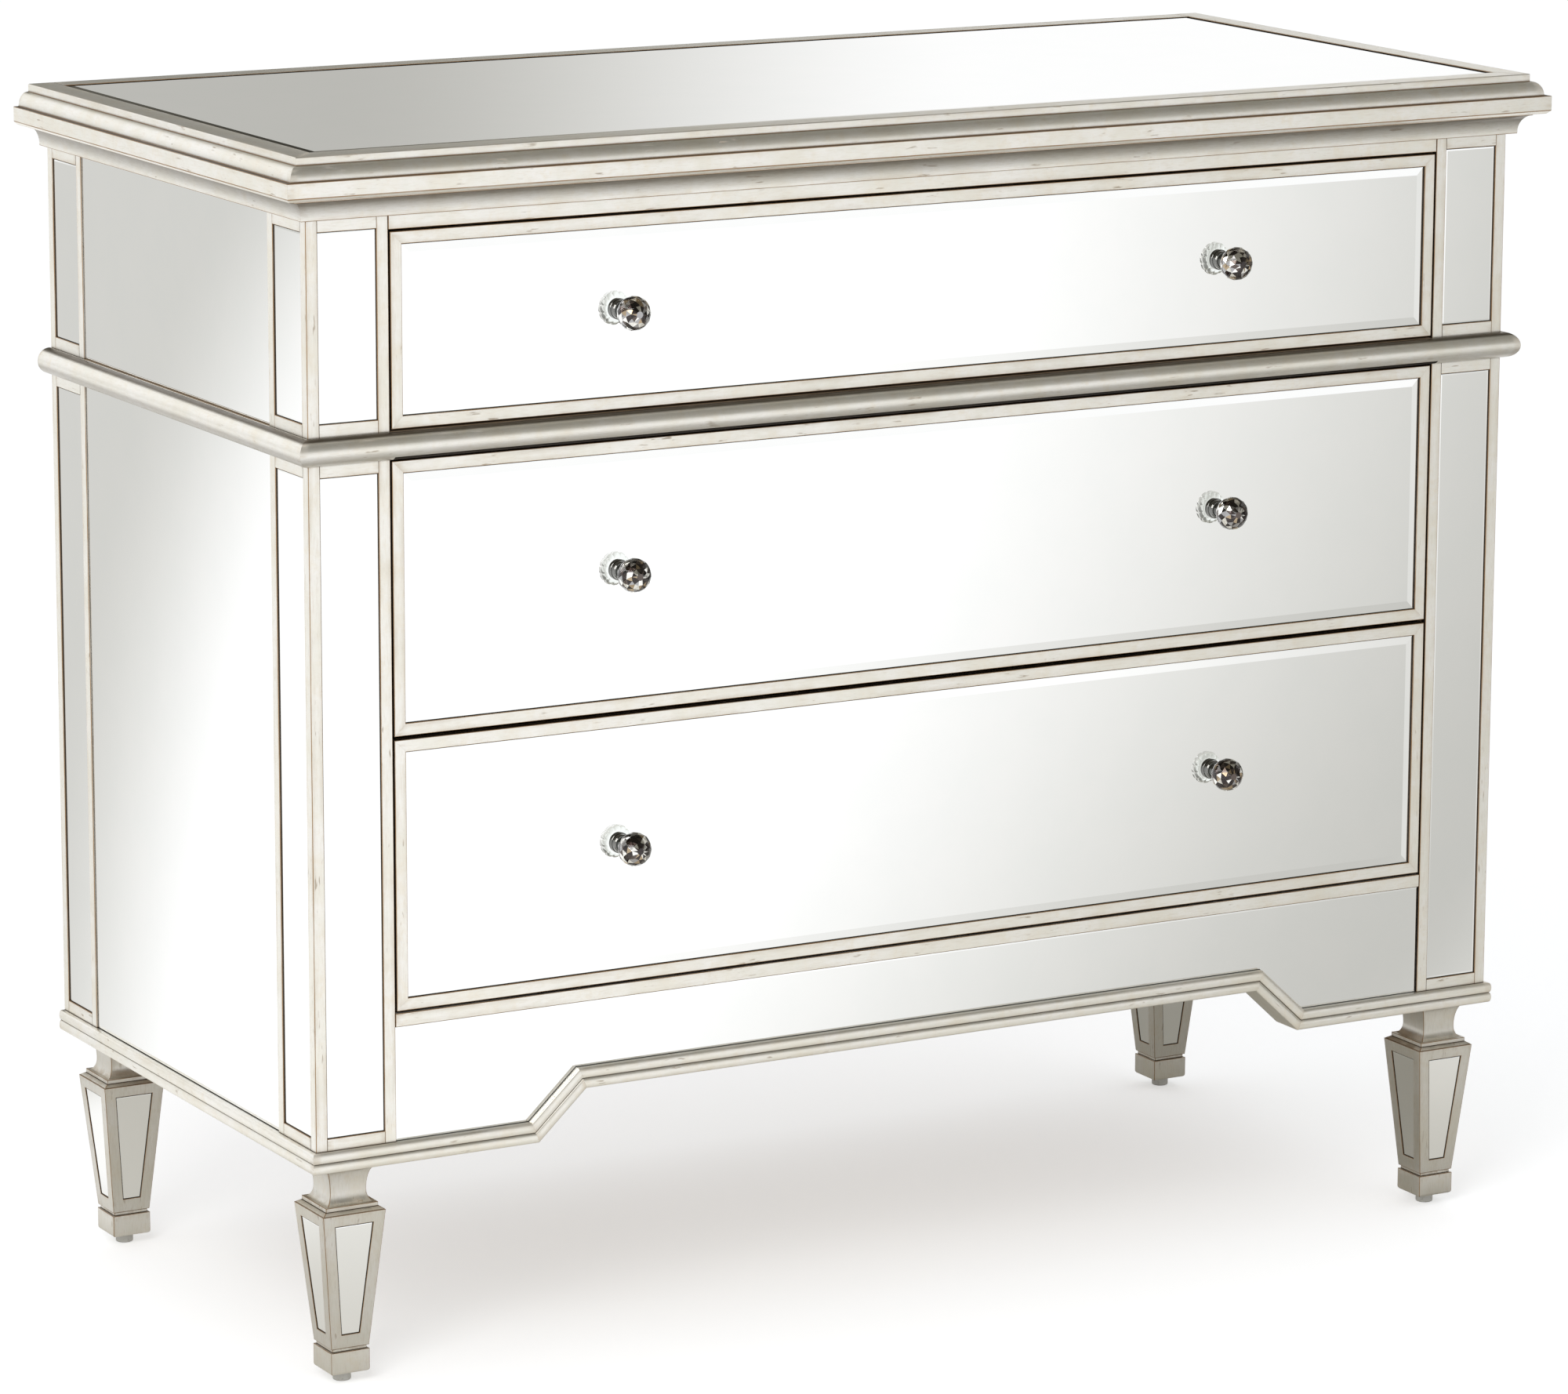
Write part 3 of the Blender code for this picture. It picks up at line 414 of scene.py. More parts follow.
def mirror_back(nodes):
    """The grey paint on the back of a mirror."""
    patch = nodes.noise(nodes.place(), 40, 3)
    return {"Base Color": nodes.blend(patch, (0.16, 0.17, 0.17), (0.24, 0.25, 0.25)),
            "Roughness": 0.6}


def crystal(nodes):
    """Clear knob glass."""
    smears = nodes.noise(nodes.place(), 260, 3)
    return {"Base Color": nodes.blend(smears, (0.965, 0.99, 0.975), (0.93, 0.965, 0.945)),
            "Roughness": nodes.ramp(smears, 0.4, 0.8, 0.0, 0.03),
            "Transmission Weight": 1.0, "IOR": 1.52}


def pass_light(material, colour):
    """Lets light through a glass to what lies behind it."""
    nodes = Nodes(material.node_tree)
    shader = nodes.tree.nodes["Principled BSDF"].outputs[0]
    is_shadow = nodes.add("LightPath").outputs["Is Shadow Ray"]
    clear = nodes.add("BsdfTransparent", [("Color", (*colour, 1))]).outputs[0]
    mixed = nodes.add("MixShader", enumerate((is_shadow, shader, clear))).outputs[0]
    nodes.feed(nodes.tree.nodes["Material Output"], "Surface", mixed)


def painted_sparkle_core(nodes, sparkles):
    """The cut facets at the back of the ball, coloured as painted reflections of the cut
    glass. Each takes the colour of one sparkle.
    """
    colours = nodes.add("ValToRGB", [("Fac", nodes.attribute("facet"))])
    steps = colours.color_ramp
    steps.interpolation = "CONSTANT"
    steps.elements.remove(steps.elements[1])
    for number, (start, colour) in enumerate(sparkles):
        element = steps.elements.new(start) if number else steps.elements[0]
        element.color = (*colour, 1)
    shine = nodes.noise(nodes.place(), 500, 2)
    return {"Base Color": colours.outputs["Color"], "Metallic": 1.0,
            "Roughness": nodes.line(shine, 0.2, 0.05)}


def chrome(nodes):
    """Polished chrome, faintly smeared, with painted shade in its hollows and painted
    highlights on its lips.
    """
    smears = nodes.noise(nodes.place(), 300, 4, 0.6)
    # Painted shade in the hollows and painted highlights on the lips
    closed = nodes.ramp(nodes.occlusion(0.006), 0.98, 0.60)
    lip = nodes.ramp(nodes.occlusion(0.0006, inside=True), 0.85, 0.60)
    colour = nodes.layers((0.18, 0.18, 0.17), (closed, (0.012, 0.015, 0.012)),
                          (lip, (0.86, 0.86, 0.85)))
    return {"Base Color": colour, "Metallic": 1.0, "Roughness": nodes.line(smears, 0.12, 0.05)}


def glide_plastic(nodes):
    """Pale moulded plastic, scuffed where it meets the floor."""
    place = nodes.place()
    scuffs = nodes.ramp(nodes.noise(place, 380, 4, 0.7), 0.5, 0.68)
    low = nodes.ramp(nodes.parts(place)["Z"], 0.004, 0.0)
    mark = nodes.times(scuffs, nodes.line(low, 0.7, 0.2))
    return {"Base Color": nodes.blend(mark, (0.62, 0.61, 0.57), (0.36, 0.34, 0.31)),
            "Roughness": nodes.line(mark, 0.3, 0.42), "Normal": nodes.bump(scuffs, 0.0001, 0.4)}


# Where each sparkle starts among the facets' numbers, and its colour: painted reflections
# of the cut glass, dark, tan, white and grey
SPARKLES = ((0.0, (0.022, 0.014, 0.013)), (0.34, (0.10, 0.075, 0.065)),
            (0.50, (0.46, 0.35, 0.23)), (0.60, (0.04, 0.028, 0.025)),
            (0.70, (1.0, 0.98, 0.95)), (0.88, (0.42, 0.41, 0.42)))

LEAF = make_material("silver_leaf", silver_leaf, 0.0, view=(0.66, 0.62, 0.55))
RUBBED_LEAF = make_material("rubbed_leaf", silver_leaf, 1.0, view=(0.66, 0.62, 0.55))
# Dark brown glaze that also paints the shade on the ledges and round the mirrors' recesses
GLAZE_SHADE = make_material("brown_glaze_shade", stained, (0.040, 0.028, 0.017), (0.075, 0.052, 0.033),
                      0.50, 0.5)
# Near-black stain that paints the shade in gaps, in the mirrors' recesses and under the waist bead
DARK_SHADE = make_material("dark_stain_shade", stained, (0.010, 0.007, 0.005), (0.026, 0.018, 0.012),
                     0.70, 0.12)
FRAME_WOOD = make_material("frame_wood", bare_wood, (0.50, 0.375, 0.245),
                           (0.37, 0.25, 0.145), 0.55)
DRAWER_WOOD = make_material("drawer_wood", bare_wood, (0.62, 0.475, 0.31),
                            (0.47, 0.32, 0.18), 0.45)
BACK_BOARD = make_material("back_board", fibre_board, view=(0.30, 0.24, 0.18))
MIRROR = make_material("mirror_glass", mirror_face, view=(0.86, 0.88, 0.88))
GLASS_EDGE = make_material("mirror_edge", ground_glass, (0.10, 0.155, 0.135),
                           (0.04, 0.075, 0.065), 0.0)
GLASS_RIM = make_material("mirror_rim", ground_glass, (0.30, 0.36, 0.37),
                          (0.17, 0.21, 0.22), 0.3)
MIRROR_BACK = make_material("mirror_back", mirror_back, view=(0.2, 0.2, 0.2))
CRYSTAL = make_material("crystal_knob", crystal, view=(0.85, 0.87, 0.87))
SPARKLE_CORE = make_material("painted_sparkle_core", painted_sparkle_core, SPARKLES, view=(0.3, 0.27, 0.25))
CHROME = make_material("knob_chrome", chrome, view=(0.72, 0.72, 0.73))
GLIDE_PLASTIC = make_material("glide_plastic", glide_plastic, view=(0.62, 0.61, 0.58))
pass_light(CRYSTAL, (0.92, 0.95, 0.94))

# The finishes of a silvered piece and of a mirror, by number. The dark stain and the
# brown glaze paint the shade in gaps, recesses and ledges
PAINTED = (LEAF, DARK_SHADE, FRAME_WOOD, GLAZE_SHADE, RUBBED_LEAF)
SILVERED, DARK_SHADED, RAW, GLAZE_SHADED, RUBBED = range(5)
MIRRORED = (MIRROR, GLASS_EDGE, MIRROR_BACK, GLASS_RIM)
FACE, EDGE, REAR, RIM = range(4)


# Shapes

SIDES = ("front", "right", "back", "left", "foot", "head")


class Work:
    """Gathers closed solids that become one piece. Each face has a finish's number, the
    way of its grain, the number of its board, whether another board joins it, and how
    much brown glaze and painted shade lies on it."""

    def __init__(self):
        self.points = []
        self.faces = []
        self.boards = 0

    def add(self, points, faces, finishes, grain, joined=(), glaze=()):
        start = len(self.points)
        self.points.extend(tuple(point) for point in points)
        for number, (face, finish) in enumerate(zip(faces, finishes)):
            corners = [start + corner for corner in face]
            self.faces.append((corners, finish, tuple(grain), self.boards, number in joined,
                               glaze[number] if number < len(glaze) else 0.0))
        self.boards += 1

    def loft(self, rings, grain, strips=None, levels=None, ends=(0, 0), joined=(), glaze=()):
        """A closed solid through rings of as many points each, with flat ends. strips
        gives the finish of each strip from ring to ring, or levels that of each level, as
        one number or one for each strip. joined gives the numbers of the faces that meet
        another board."""
        count = len(rings[0])
        faces = []
        finishes = []
        for level in range(len(rings) - 1):
            base = level * count
            shades = levels[level] if levels else strips or 0
            for index in range(count):
                following = (index + 1) % count
                faces.append((base + index, base + following,
                              base + count + following, base + count + index))
                finishes.append(shades if isinstance(shades, int) else shades[index])
        faces.append(tuple(reversed(range(count))))
        faces.append(tuple(range(count * (len(rings) - 1), count * len(rings))))
        finishes.extend(ends)
        self.add([point for ring in rings for point in ring], faces, finishes, grain, joined,
                 glaze)

    def board(self, corner, opposite, grain, finish=0, joined=(), **others):
        """A board between two opposite corners. others gives the finish of single faces,
        named as in SIDES, and joined names those that meet another board."""
        low = [min(pair) for pair in zip(corner, opposite)]
        high = [max(pair) for pair in zip(corner, opposite)]
        rings = [[(low[0], low[1], z), (high[0], low[1], z), (high[0], high[1], z),
                  (low[0], high[1], z)] for z in (low[2], high[2])]
        finishes = [others.get(name, finish) for name in SIDES]
        self.loft(rings, grain, finishes[:4], ends=finishes[4:],
                  joined=[SIDES.index(name) for name in joined])

    def slab(self, outline, low, high, grain, place, finish=0):
        """A flat outline drawn out from low to high. place(u, v, w) gives a point."""
        rings = [[place(u, v, w) for u, v in outline] for w in (low, high)]
        self.loft(rings, grain, [finish] * len(outline), ends=(finish, finish))


def weigh_edges(shape, work):
    """Marks the sharp edges that are rounded: all but those at a joint."""
    weight = shape.edges.layers.float.new("bevel_weight_edge")
    for edge in shape.edges:
        if edge.calc_face_angle(0) > SMOOTH_ANGLE:
            joined = any(work.faces[face.index][4] for face in edge.link_faces)
            edge[weight] = 0.0 if joined else 1.0


def make_piece(name, work, finishes, body, nodes=(), arris=ARRIS, is_flat=False):
    """Turns gathered solids into a piece that rides on a body."""
    mesh = bpy.data.meshes.new(name)
    mesh.from_pydata(work.points, [], [face[0] for face in work.faces])
    for material in finishes:
        mesh.materials.append(material)
    mesh.polygons.foreach_set("material_index", [face[1] for face in work.faces])
    grain = mesh.attributes.new("grain", "FLOAT_VECTOR", "FACE")
    grain.data.foreach_set("vector", [value for face in work.faces for value in face[2]])
    # Each face's board number, and how much brown glaze and painted shade lies on it
    numbers = (("board", [float(face[3] + len(name)) for face in work.faces]),
               ("glaze", [face[5] for face in work.faces]))
    for label, values in numbers:
        mesh.attributes.new(label, "FLOAT", "FACE").data.foreach_set("value", values)
    shape = bmesh.new()
    shape.from_mesh(mesh)
    bmesh.ops.recalc_face_normals(shape, faces=shape.faces)
    if arris:
        weigh_edges(shape, work)
    shape.to_mesh(mesh)
    shape.free()
    if not is_flat:
        mesh.polygons.foreach_set("use_smooth", [True] * len(mesh.polygons))
        mesh.set_sharp_from_angle(angle=SMOOTH_ANGLE)
    piece = bpy.data.objects.new(name, mesh)
    bpy.context.scene.collection.objects.link(piece)
    if arris:
        rounding = piece.modifiers.new("arris", "BEVEL")
        rounding.width = arris
        rounding.segments = 2
        rounding.limit_method = "WEIGHT"
        rounding.harden_normals = True
        rounding.material = RUBBED if finishes is PAINTED else -1
    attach(piece, body)
    if nodes:
        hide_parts(*nodes)
    return piece


def make_leaf_piece(name, work, node, body="case", arris=ARRIS):
    """Turns silvered solids into the piece that stands for a node."""
    return make_piece(name, work, PAINTED, body, (node,), arris)


def make_glass_piece(name, work, nodes=(), body="case"):
    """Turns mirrors into a piece with flat faces."""
    return make_piece(name, work, MIRRORED, body, nodes, 0, True)


def arc(centre, radii, start_degrees, end_degrees, steps=ARC_STEPS):
    """Points on an elliptical arc, both ends included."""
    points = []
    for step in range(steps + 1):
        angle = math.radians(start_degrees + (end_degrees - start_degrees) * step / steps)
        points.append((centre[0] + radii[0] * math.cos(angle),
                       centre[1] + radii[1] * math.sin(angle)))
    return points


def settle(value, low, high):
    """Runs smoothly from nought, at low, to one, at high."""
    share = min(max((value - low) / (high - low), 0), 1)
    return share * share * (3 - 2 * share)


def straight_runs(stations):
    """The path's stations in runs, each as straight as a single board."""
    runs = []
    before = Vector()
    for first, second in zip(stations, stations[1:]):
        along = (Vector(second[0]) - Vector(first[0])).normalized()
        if along.dot(before) < 0.999:
            runs.append([first])
        runs[-1].append(second)
        before = along
    return runs


def sweep(work, stations, profile, strips=None, glaze=(), closed=False, shaded=None):
    """A moulding with mitred corners, one length for each straight run of the path. A
    station is a place with the way out and the way up there. strips gives the finish of
    each strip, and the glaze amounts how much brown glaze and painted shade lies on each;
    shaded, the finishes of single stretches."""
    runs = straight_runs(stations)
    strip_count = len(profile)
    number = 0
    for run in runs:
        along = (Vector(run[-1][0]) - Vector(run[0][0])).normalized()
        shifts = [0] * len(run)
        if closed or run is not runs[0]:
            shifts[0] = MITRE_GAP
        if closed or run is not runs[-1]:
            shifts[-1] = -MITRE_GAP
        rings = []
        for (place, outward, upward), shift in zip(run, shifts):
            start = Vector(place) + along * shift
            rings.append([start + Vector(outward) * reach + Vector(upward) * rise
                          for reach, rise in profile])
        levels = [(shaded or {}).get(number + step, strips or 0) for step in range(len(run) - 1)]
        number += len(levels)
        faces = strip_count * len(levels)
        work.loft(rings, along, levels=levels, joined=(faces, faces + 1),
                  glaze=(list(glaze) + [0.0] * (strip_count - len(glaze))) * len(levels))


def make_moulding(name, node, stations, profile, **others):
    """Sweeps a profile into the silvered piece that stands for a node."""
    work = Work()
    sweep(work, stations, profile, **others)
    make_leaf_piece(name, work, node)


def case_path(height, back=BACK_Y):
    """The path of a moulding round the left side, the front and the right side."""
    corners = ((-1, back, 0), (-1, FRONT_Y, -1), (1, FRONT_Y, -1), (1, back, 0))
    return [((side * SIDE_X, y, height), (side, ahead, 0), (0, 0, 1))
            for side, y, ahead in corners]


def cutout_mitre():
    """The way up at the cut-out's left corners, for a rise of one."""
    run = Vector((CUTOUT_FOOT_HALF_WIDTH - CUTOUT_HEAD_HALF_WIDTH, CUTOUT_RISE)).normalized()
    normal = Vector((-run.y, run.x))
    level = Vector((0, 1))
    return (normal + level) / (1 + normal.dot(level))


def cutout_points(rise):
    """The cut-out's four corners (x, height) at a rise above the moulding's foot."""
    mitre = cutout_mitre()
    corners = [(-CUTOUT_FOOT_HALF_WIDTH, 0), (-CUTOUT_HEAD_HALF_WIDTH, CUTOUT_RISE)]
    left = [(across + mitre.x * rise, height + mitre.y * rise) for across, height in corners]
    return left + [(-across, height) for across, height in reversed(left)]


def inset(outline, distance):
    """An anticlockwise outline moved inwards."""
    moved = []
    for index, corner in enumerate(outline):
        before = (Vector(corner) - Vector(outline[index - 1])).normalized()
        after = (Vector(outline[(index + 1) % len(outline)]) - Vector(corner)).normalized()
        first = Vector((-before.y, before.x))
        second = Vector((-after.y, after.x))
        mitre = (first + second) / (1 + first.dot(second))
        moved.append(tuple(Vector(corner) + mitre * distance))
    return moved


def glass(work, outline, place, thickness, bevel):
    """A mirror with a ground rim and a bevel, given as its width and its drop. Its face is
    at w = 0 of place(u, v, w)."""
    width, drop = bevel
    levels = ((outline, -thickness), (outline, -drop - RIM_DROP),
              (inset(outline, RIM_WIDTH), -drop), (inset(outline, RIM_WIDTH + width), 0))
    rings = [[place(u, v, w) for u, v in points] for points, w in levels]
    work.loft(rings, ALONG_Z, levels=(EDGE, RIM, FACE), ends=(REAR, FACE))


def rectangle(low, high):
    """A rectangle's corners, anticlockwise."""
    return [(low[0], low[1]), (high[0], low[1]), (high[0], high[1]), (low[0], high[1])]


def make_mirror(node, axis, face, bevel, body="case"):
    """Stands for a mirror's node. Its face lies across an axis, at a place on it."""
    low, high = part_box(node)
    outward = 1 if face > (low[axis] + high[axis]) / 2 else -1
    back = low[axis] if outward > 0 else high[axis]
    first, second = (number for number in range(3) if number != axis)

    def place(u, v, w):
        point = [0, 0, 0]
        point[first], point[second], point[axis] = u, v, face + outward * w
        return point

    work = Work()
    glass(work, rectangle((low[first], low[second]), (high[first], high[second])), place,
          abs(face - back), bevel)
    make_glass_piece(f"{node}_glass", work, (node,), body)


def make_mirrors():
    """The flat mirrors of the top, the posts, the sides and the drawers."""
    make_mirror("top_mirror", 2, TOP_TOP - TOP_MIRROR_SETBACK, TOP_BEVEL)
    front = FRONT_Y + FRONT_MIRROR_SETBACK
    for name, side in (("left", -1), ("right", 1)):
        face = side * (SIDE_X - SIDE_MIRROR_SETBACK)
        for level in ("upper", "lower"):
            make_mirror(f"front_{name}_{level}_front_mirror", 1, front, NARROW_BEVEL)
            for node in (f"front_{name}_{level}_side_mirror", f"rear_{name}_{level}_side_mirror",
                         f"{name}_side_{level}_mirror"):
                make_mirror(node, 0, face, NARROW_BEVEL)
    for number in (1, 2, 3):
        make_mirror(f"drawer_{number}_mirror", 1, front, WIDE_BEVEL, f"drawer_{number}")


def make_top():
    """The moulded frame of the top, mitred at the front, and the board under its mirror."""
    band_top = BAND_CHAMFER + BAND_HEIGHT
    ovolo_top = band_top + OVOLO_HEIGHT
    ovolo_start = TOP_EDGE_REACH + TOP_FILLET_STEP
    height = TOP_TOP - TOP_BOTTOM
    inner = TOP_EDGE_REACH - TOP_FRAME_WIDTH
    profile = [(inner, 0), (BAND_REACH - BAND_CHAMFER, 0), (BAND_REACH, BAND_CHAMFER),
               (BAND_REACH, band_top)]
    profile += arc((ovolo_start, band_top), (OVOLO_REACH - ovolo_start, OVOLO_HEIGHT), 0, 90)
    profile += [(TOP_EDGE_REACH, ovolo_top)]
    profile += arc((TOP_EDGE_REACH - TOP_ROUNDING[0], height - TOP_ROUNDING[1]), TOP_ROUNDING,
                   0, 90, 8)
    profile += [(inner, height)]
    # The inner face takes dark painted shade, and the two ledges brown glaze with painted shade
    strips = [SILVERED] * (len(profile) - 1) + [DARK_SHADED]
    for ledge in (3, 4 + ARC_STEPS):
        strips[ledge] = GLAZE_SHADED
    # Brown glaze and painted shade towards the top of the ovolo
    root = [0.0] * 4 + [OVOLO_GLAZE_SHADE * settle(step / ARC_STEPS, 0.72, 1.0)
                        for step in range(ARC_STEPS)]
    work = Work()
    sweep(work, case_path(TOP_BOTTOM, TOP_BACK_Y), profile, strips, root)
    half = SIDE_X + inner - MITRE_GAP
    recess_y = TOP_BACK_Y - TOP_FRAME_WIDTH
    # The rail behind the mirror shows dark painted shade on its face towards it
    work.board((-half, recess_y, TOP_BOTTOM), (half, TOP_BACK_Y, TOP_TOP), ALONG_X,
               SILVERED, ("left", "right"), front=DARK_SHADED)
    work.board((-half, FRONT_Y - inner + MITRE_GAP, TOP_BOTTOM),
               (half, recess_y - MITRE_GAP, TOP_TOP - RECESS_DEPTH), ALONG_X, RAW)
    make_leaf_piece("top_frame_moulding", work, "top_slab")


def make_mouldings():
    """The cornice, the half-round waist bead and the double-bead base moulding."""
    cornice_height = CASE_TOP - CORNICE_BOTTOM
    radii = (CORNICE_TOP_REACH - CORNICE_FOOT_REACH, cornice_height - 2 * CORNICE_FILLET)
    profile = [(CONTACT_GAP, 0), (CORNICE_FOOT_REACH, 0)]
    profile += arc((CORNICE_TOP_REACH, CORNICE_FILLET), radii, 180, 90)
    profile += [(CORNICE_TOP_REACH, cornice_height), (CONTACT_GAP, cornice_height)]
    # Brown glaze and painted shade in the cove, darkest at its top
    cove = [0.0] * 2 + [COVE_GLAZE_SHADE * (1 - (1 - (step + 0.5) / ARC_STEPS) ** 2.5)
                        for step in range(ARC_STEPS)]
    make_moulding("cornice", "cornice_moulding", case_path(CORNICE_BOTTOM), profile, glaze=cove)

    half = (WAIST_TOP - WAIST_BOTTOM) / 2
    profile = [(CONTACT_GAP, 0)]
    profile += arc((WAIST_FLAT, half), (half, half), -90, 90, 2 * ARC_STEPS)
    profile += [(CONTACT_GAP, 2 * half)]
    angles = [90 * (step + 0.5) / ARC_STEPS - 90 for step in range(2 * ARC_STEPS)]
    # Brown glaze and painted shade on the bead's top and on its lower half
    root = [0.0] + [BEAD_TOP_GLAZE_SHADE * settle(angle, 47, 62)
                    + BEAD_FOOT_GLAZE_SHADE * settle(angle, 3, -24) for angle in angles]
    shadow = [DARK_SHADED] + [DARK_SHADED if angle < BEAD_SHADOW_ANGLE else SILVERED
                           for angle in angles]
    shadow += [SILVERED] * 2
    stations = case_path(WAIST_BOTTOM)
    opening = [((side * OPENING_HALF_WIDTH, FRONT_Y, WAIST_BOTTOM), (0, -1, 0), (0, 0, 1))
               for side in (-1, 1)]
    make_moulding("waist_bead", "waist_moulding", stations[:2] + opening + stations[2:], profile,
                  glaze=root, shaded={2: shadow})

    bead = (BASE_TOP - BASE_BOTTOM) / 2
    profile = [(-BASE_DEPTH, 0)]
    for number in range(2):
        middle = (BASE_FACE_REACH, bead * (number + 0.5))
        profile += arc(middle, (BASE_BEAD_BULGE, bead / 2), -90, 90)[number:]
    profile += [(-BASE_DEPTH, 2 * bead)]
    mitre = cutout_mitre()
    path = case_path(BASE_BOTTOM)
    stations = path[:2]
    for side, (across, height) in zip((1, 1, -1, -1), cutout_points(0)):
        stations.append(((across, FRONT_Y, BASE_BOTTOM + height), (0, -1, 0),
                         (side * mitre.x, 0, mitre.y)))
    make_moulding("base_beads", "base_moulding", stations + path[2:], profile)


def facing_boards(work, point, across, levels, dark_low, dark_high, corner):
    """The stiles and rails round a post's two mirrors on one face. point(u, w, z) gives
    the place at u along the face and w behind it. corner names the end, low or high, that
    the corner stile fills already."""
    low, high = across
    for end, start, stop, dark in (("low", low, low + POST_STILE_WIDTH, dark_low),
                                   ("high", high - POST_STILE_WIDTH, high, dark_high)):
        # Stile faces beside the opening take dark painted shade, those round the recesses brown
        # glaze with painted shade
        if end != corner:
            work.board(point(start, 0, levels[0][0]), point(stop, RECESS_DEPTH, levels[-1][1]),
                       ALONG_Z, SILVERED, **dark)
    runs_across = point(1, 0, 0)[0] != point(0, 0, 0)[0]
    # The rails' faces round the recesses take brown glaze with painted shade
    for bottom, top in levels:
        work.board(point(low + POST_STILE_WIDTH + BOARD_GAP, 0, bottom),
                   point(high - POST_STILE_WIDTH - BOARD_GAP, RECESS_DEPTH, top),
                   ALONG_X if runs_across else ALONG_Y, SILVERED,
                   ("left", "right") if runs_across else ("front", "back"),
                   foot=GLAZE_SHADED, head=GLAZE_SHADED)


def make_post(name, side):
    """A corner post: a core faced with stiles and rails, which leave the recesses of its
    mirrors open."""
    low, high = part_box(f"{name}_post")
    is_front = low.y < 0
    levels = ((BASE_TOP, BASE_TOP + POST_RAIL_WIDTH),
              (WAIST_BOTTOM - POST_RAIL_WIDTH, WAIST_TOP + POST_RAIL_WIDTH),
              (CORNICE_BOTTOM - POST_RAIL_WIDTH, CASE_TOP))
    inner_x = side * OPENING_HALF_WIDTH
    outer_x = side * SIDE_X
    core_x = side * (SIDE_X - RECESS_DEPTH - BOARD_GAP)
    core_y = low.y + (RECESS_DEPTH + BOARD_GAP if is_front else 0)
    foot_x = side * (SIDE_X - BASE_DEPTH - CONTACT_GAP)
    foot_y = low.y + (BASE_DEPTH + CONTACT_GAP if is_front else 0)
    inner, outer = ("right", "left") if side < 0 else ("left", "right")
    work = Work()
    work.board((inner_x, core_y, BASE_TOP), (core_x, high.y, CASE_TOP), ALONG_Z, RAW,
               back=SILVERED)
    work.board((inner_x, foot_y, BASE_BOTTOM), (foot_x, high.y, BASE_TOP - BOARD_GAP), ALONG_Z,
               RAW, back=SILVERED)
    if is_front:
        # The corner stile's faces round the recesses take brown glaze with painted shade
        corner = outer_x - side * POST_STILE_WIDTH
        work.board((corner, low.y, BASE_TOP), (outer_x, low.y + POST_STILE_WIDTH, CASE_TOP),
                   ALONG_Z, SILVERED, back=GLAZE_SHADED, **{inner: GLAZE_SHADED})
        facing_boards(work, lambda u, w, z: (side * u, low.y + w, z),
                      (OPENING_HALF_WIDTH, SIDE_X), levels, {inner: DARK_SHADED, outer: GLAZE_SHADED},
                      {}, "high")
    facing_boards(work, lambda u, w, z: (side * (SIDE_X - w), u, z), (low.y, high.y), levels,
                  {"back": GLAZE_SHADED}, {"front": GLAZE_SHADED}, "low" if is_front else None)
    make_leaf_piece(f"{name}_corner", work, f"{name}_post")


def make_case():
    """The posts, the boards behind the side mirrors and the back."""
    for side_name, side in (("left", -1), ("right", 1)):
        make_post(f"front_{side_name}", side)
        make_post(f"rear_{side_name}", side)
        low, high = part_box(f"{side_name}_side_panel")
        work = Work()
        inner_x = side * min(abs(low.x), abs(high.x))
        heights = ((low.z, WAIST_BOTTOM, RECESS_DEPTH), (WAIST_BOTTOM, WAIST_TOP, 0),
                   (WAIST_TOP, CORNICE_BOTTOM, RECESS_DEPTH), (CORNICE_BOTTOM, high.z, 0))
        for bottom, top, behind in heights:
            work.board((inner_x, low.y, bottom), (side * (SIDE_X - behind), high.y, top),
                       ALONG_Y, RAW)
        make_leaf_piece(f"{side_name}_side_board", work, f"{side_name}_side_panel", arris=0)
    low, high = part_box("back_panel")
    work = Work()
    work.board(low, high, ALONG_Z)
    make_piece("back_board", work, (BACK_BOARD,), "case", ("back_panel",))


def make_apron():
    """The apron board and its mirror, both cut out to the base moulding."""
    low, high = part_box("apron_mirror")
    rise = BASE_TOP - BASE_BOTTOM + CONTACT_GAP
    outline = [(low.x, BASE_BOTTOM + rise)]
    outline += [(across, BASE_BOTTOM + height) for across, height in cutout_points(rise)]
    outline += [(high.x, BASE_BOTTOM + rise), (high.x, high.z), (low.x, high.z)]
    work = Work()
    glass(work, outline, lambda u, v, w: (u, low.y - w, v), high.y - low.y, NARROW_BEVEL)
    make_glass_piece("apron_glass", work, ("apron_mirror",))
    front, back = (corner.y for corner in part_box("apron_panel"))
    work = Work()
    work.slab(outline, front, back, ALONG_X, lambda u, v, w: (u, w, v))
    make_piece("apron_board", work, (FRAME_WOOD,), "case", ("apron_panel",))


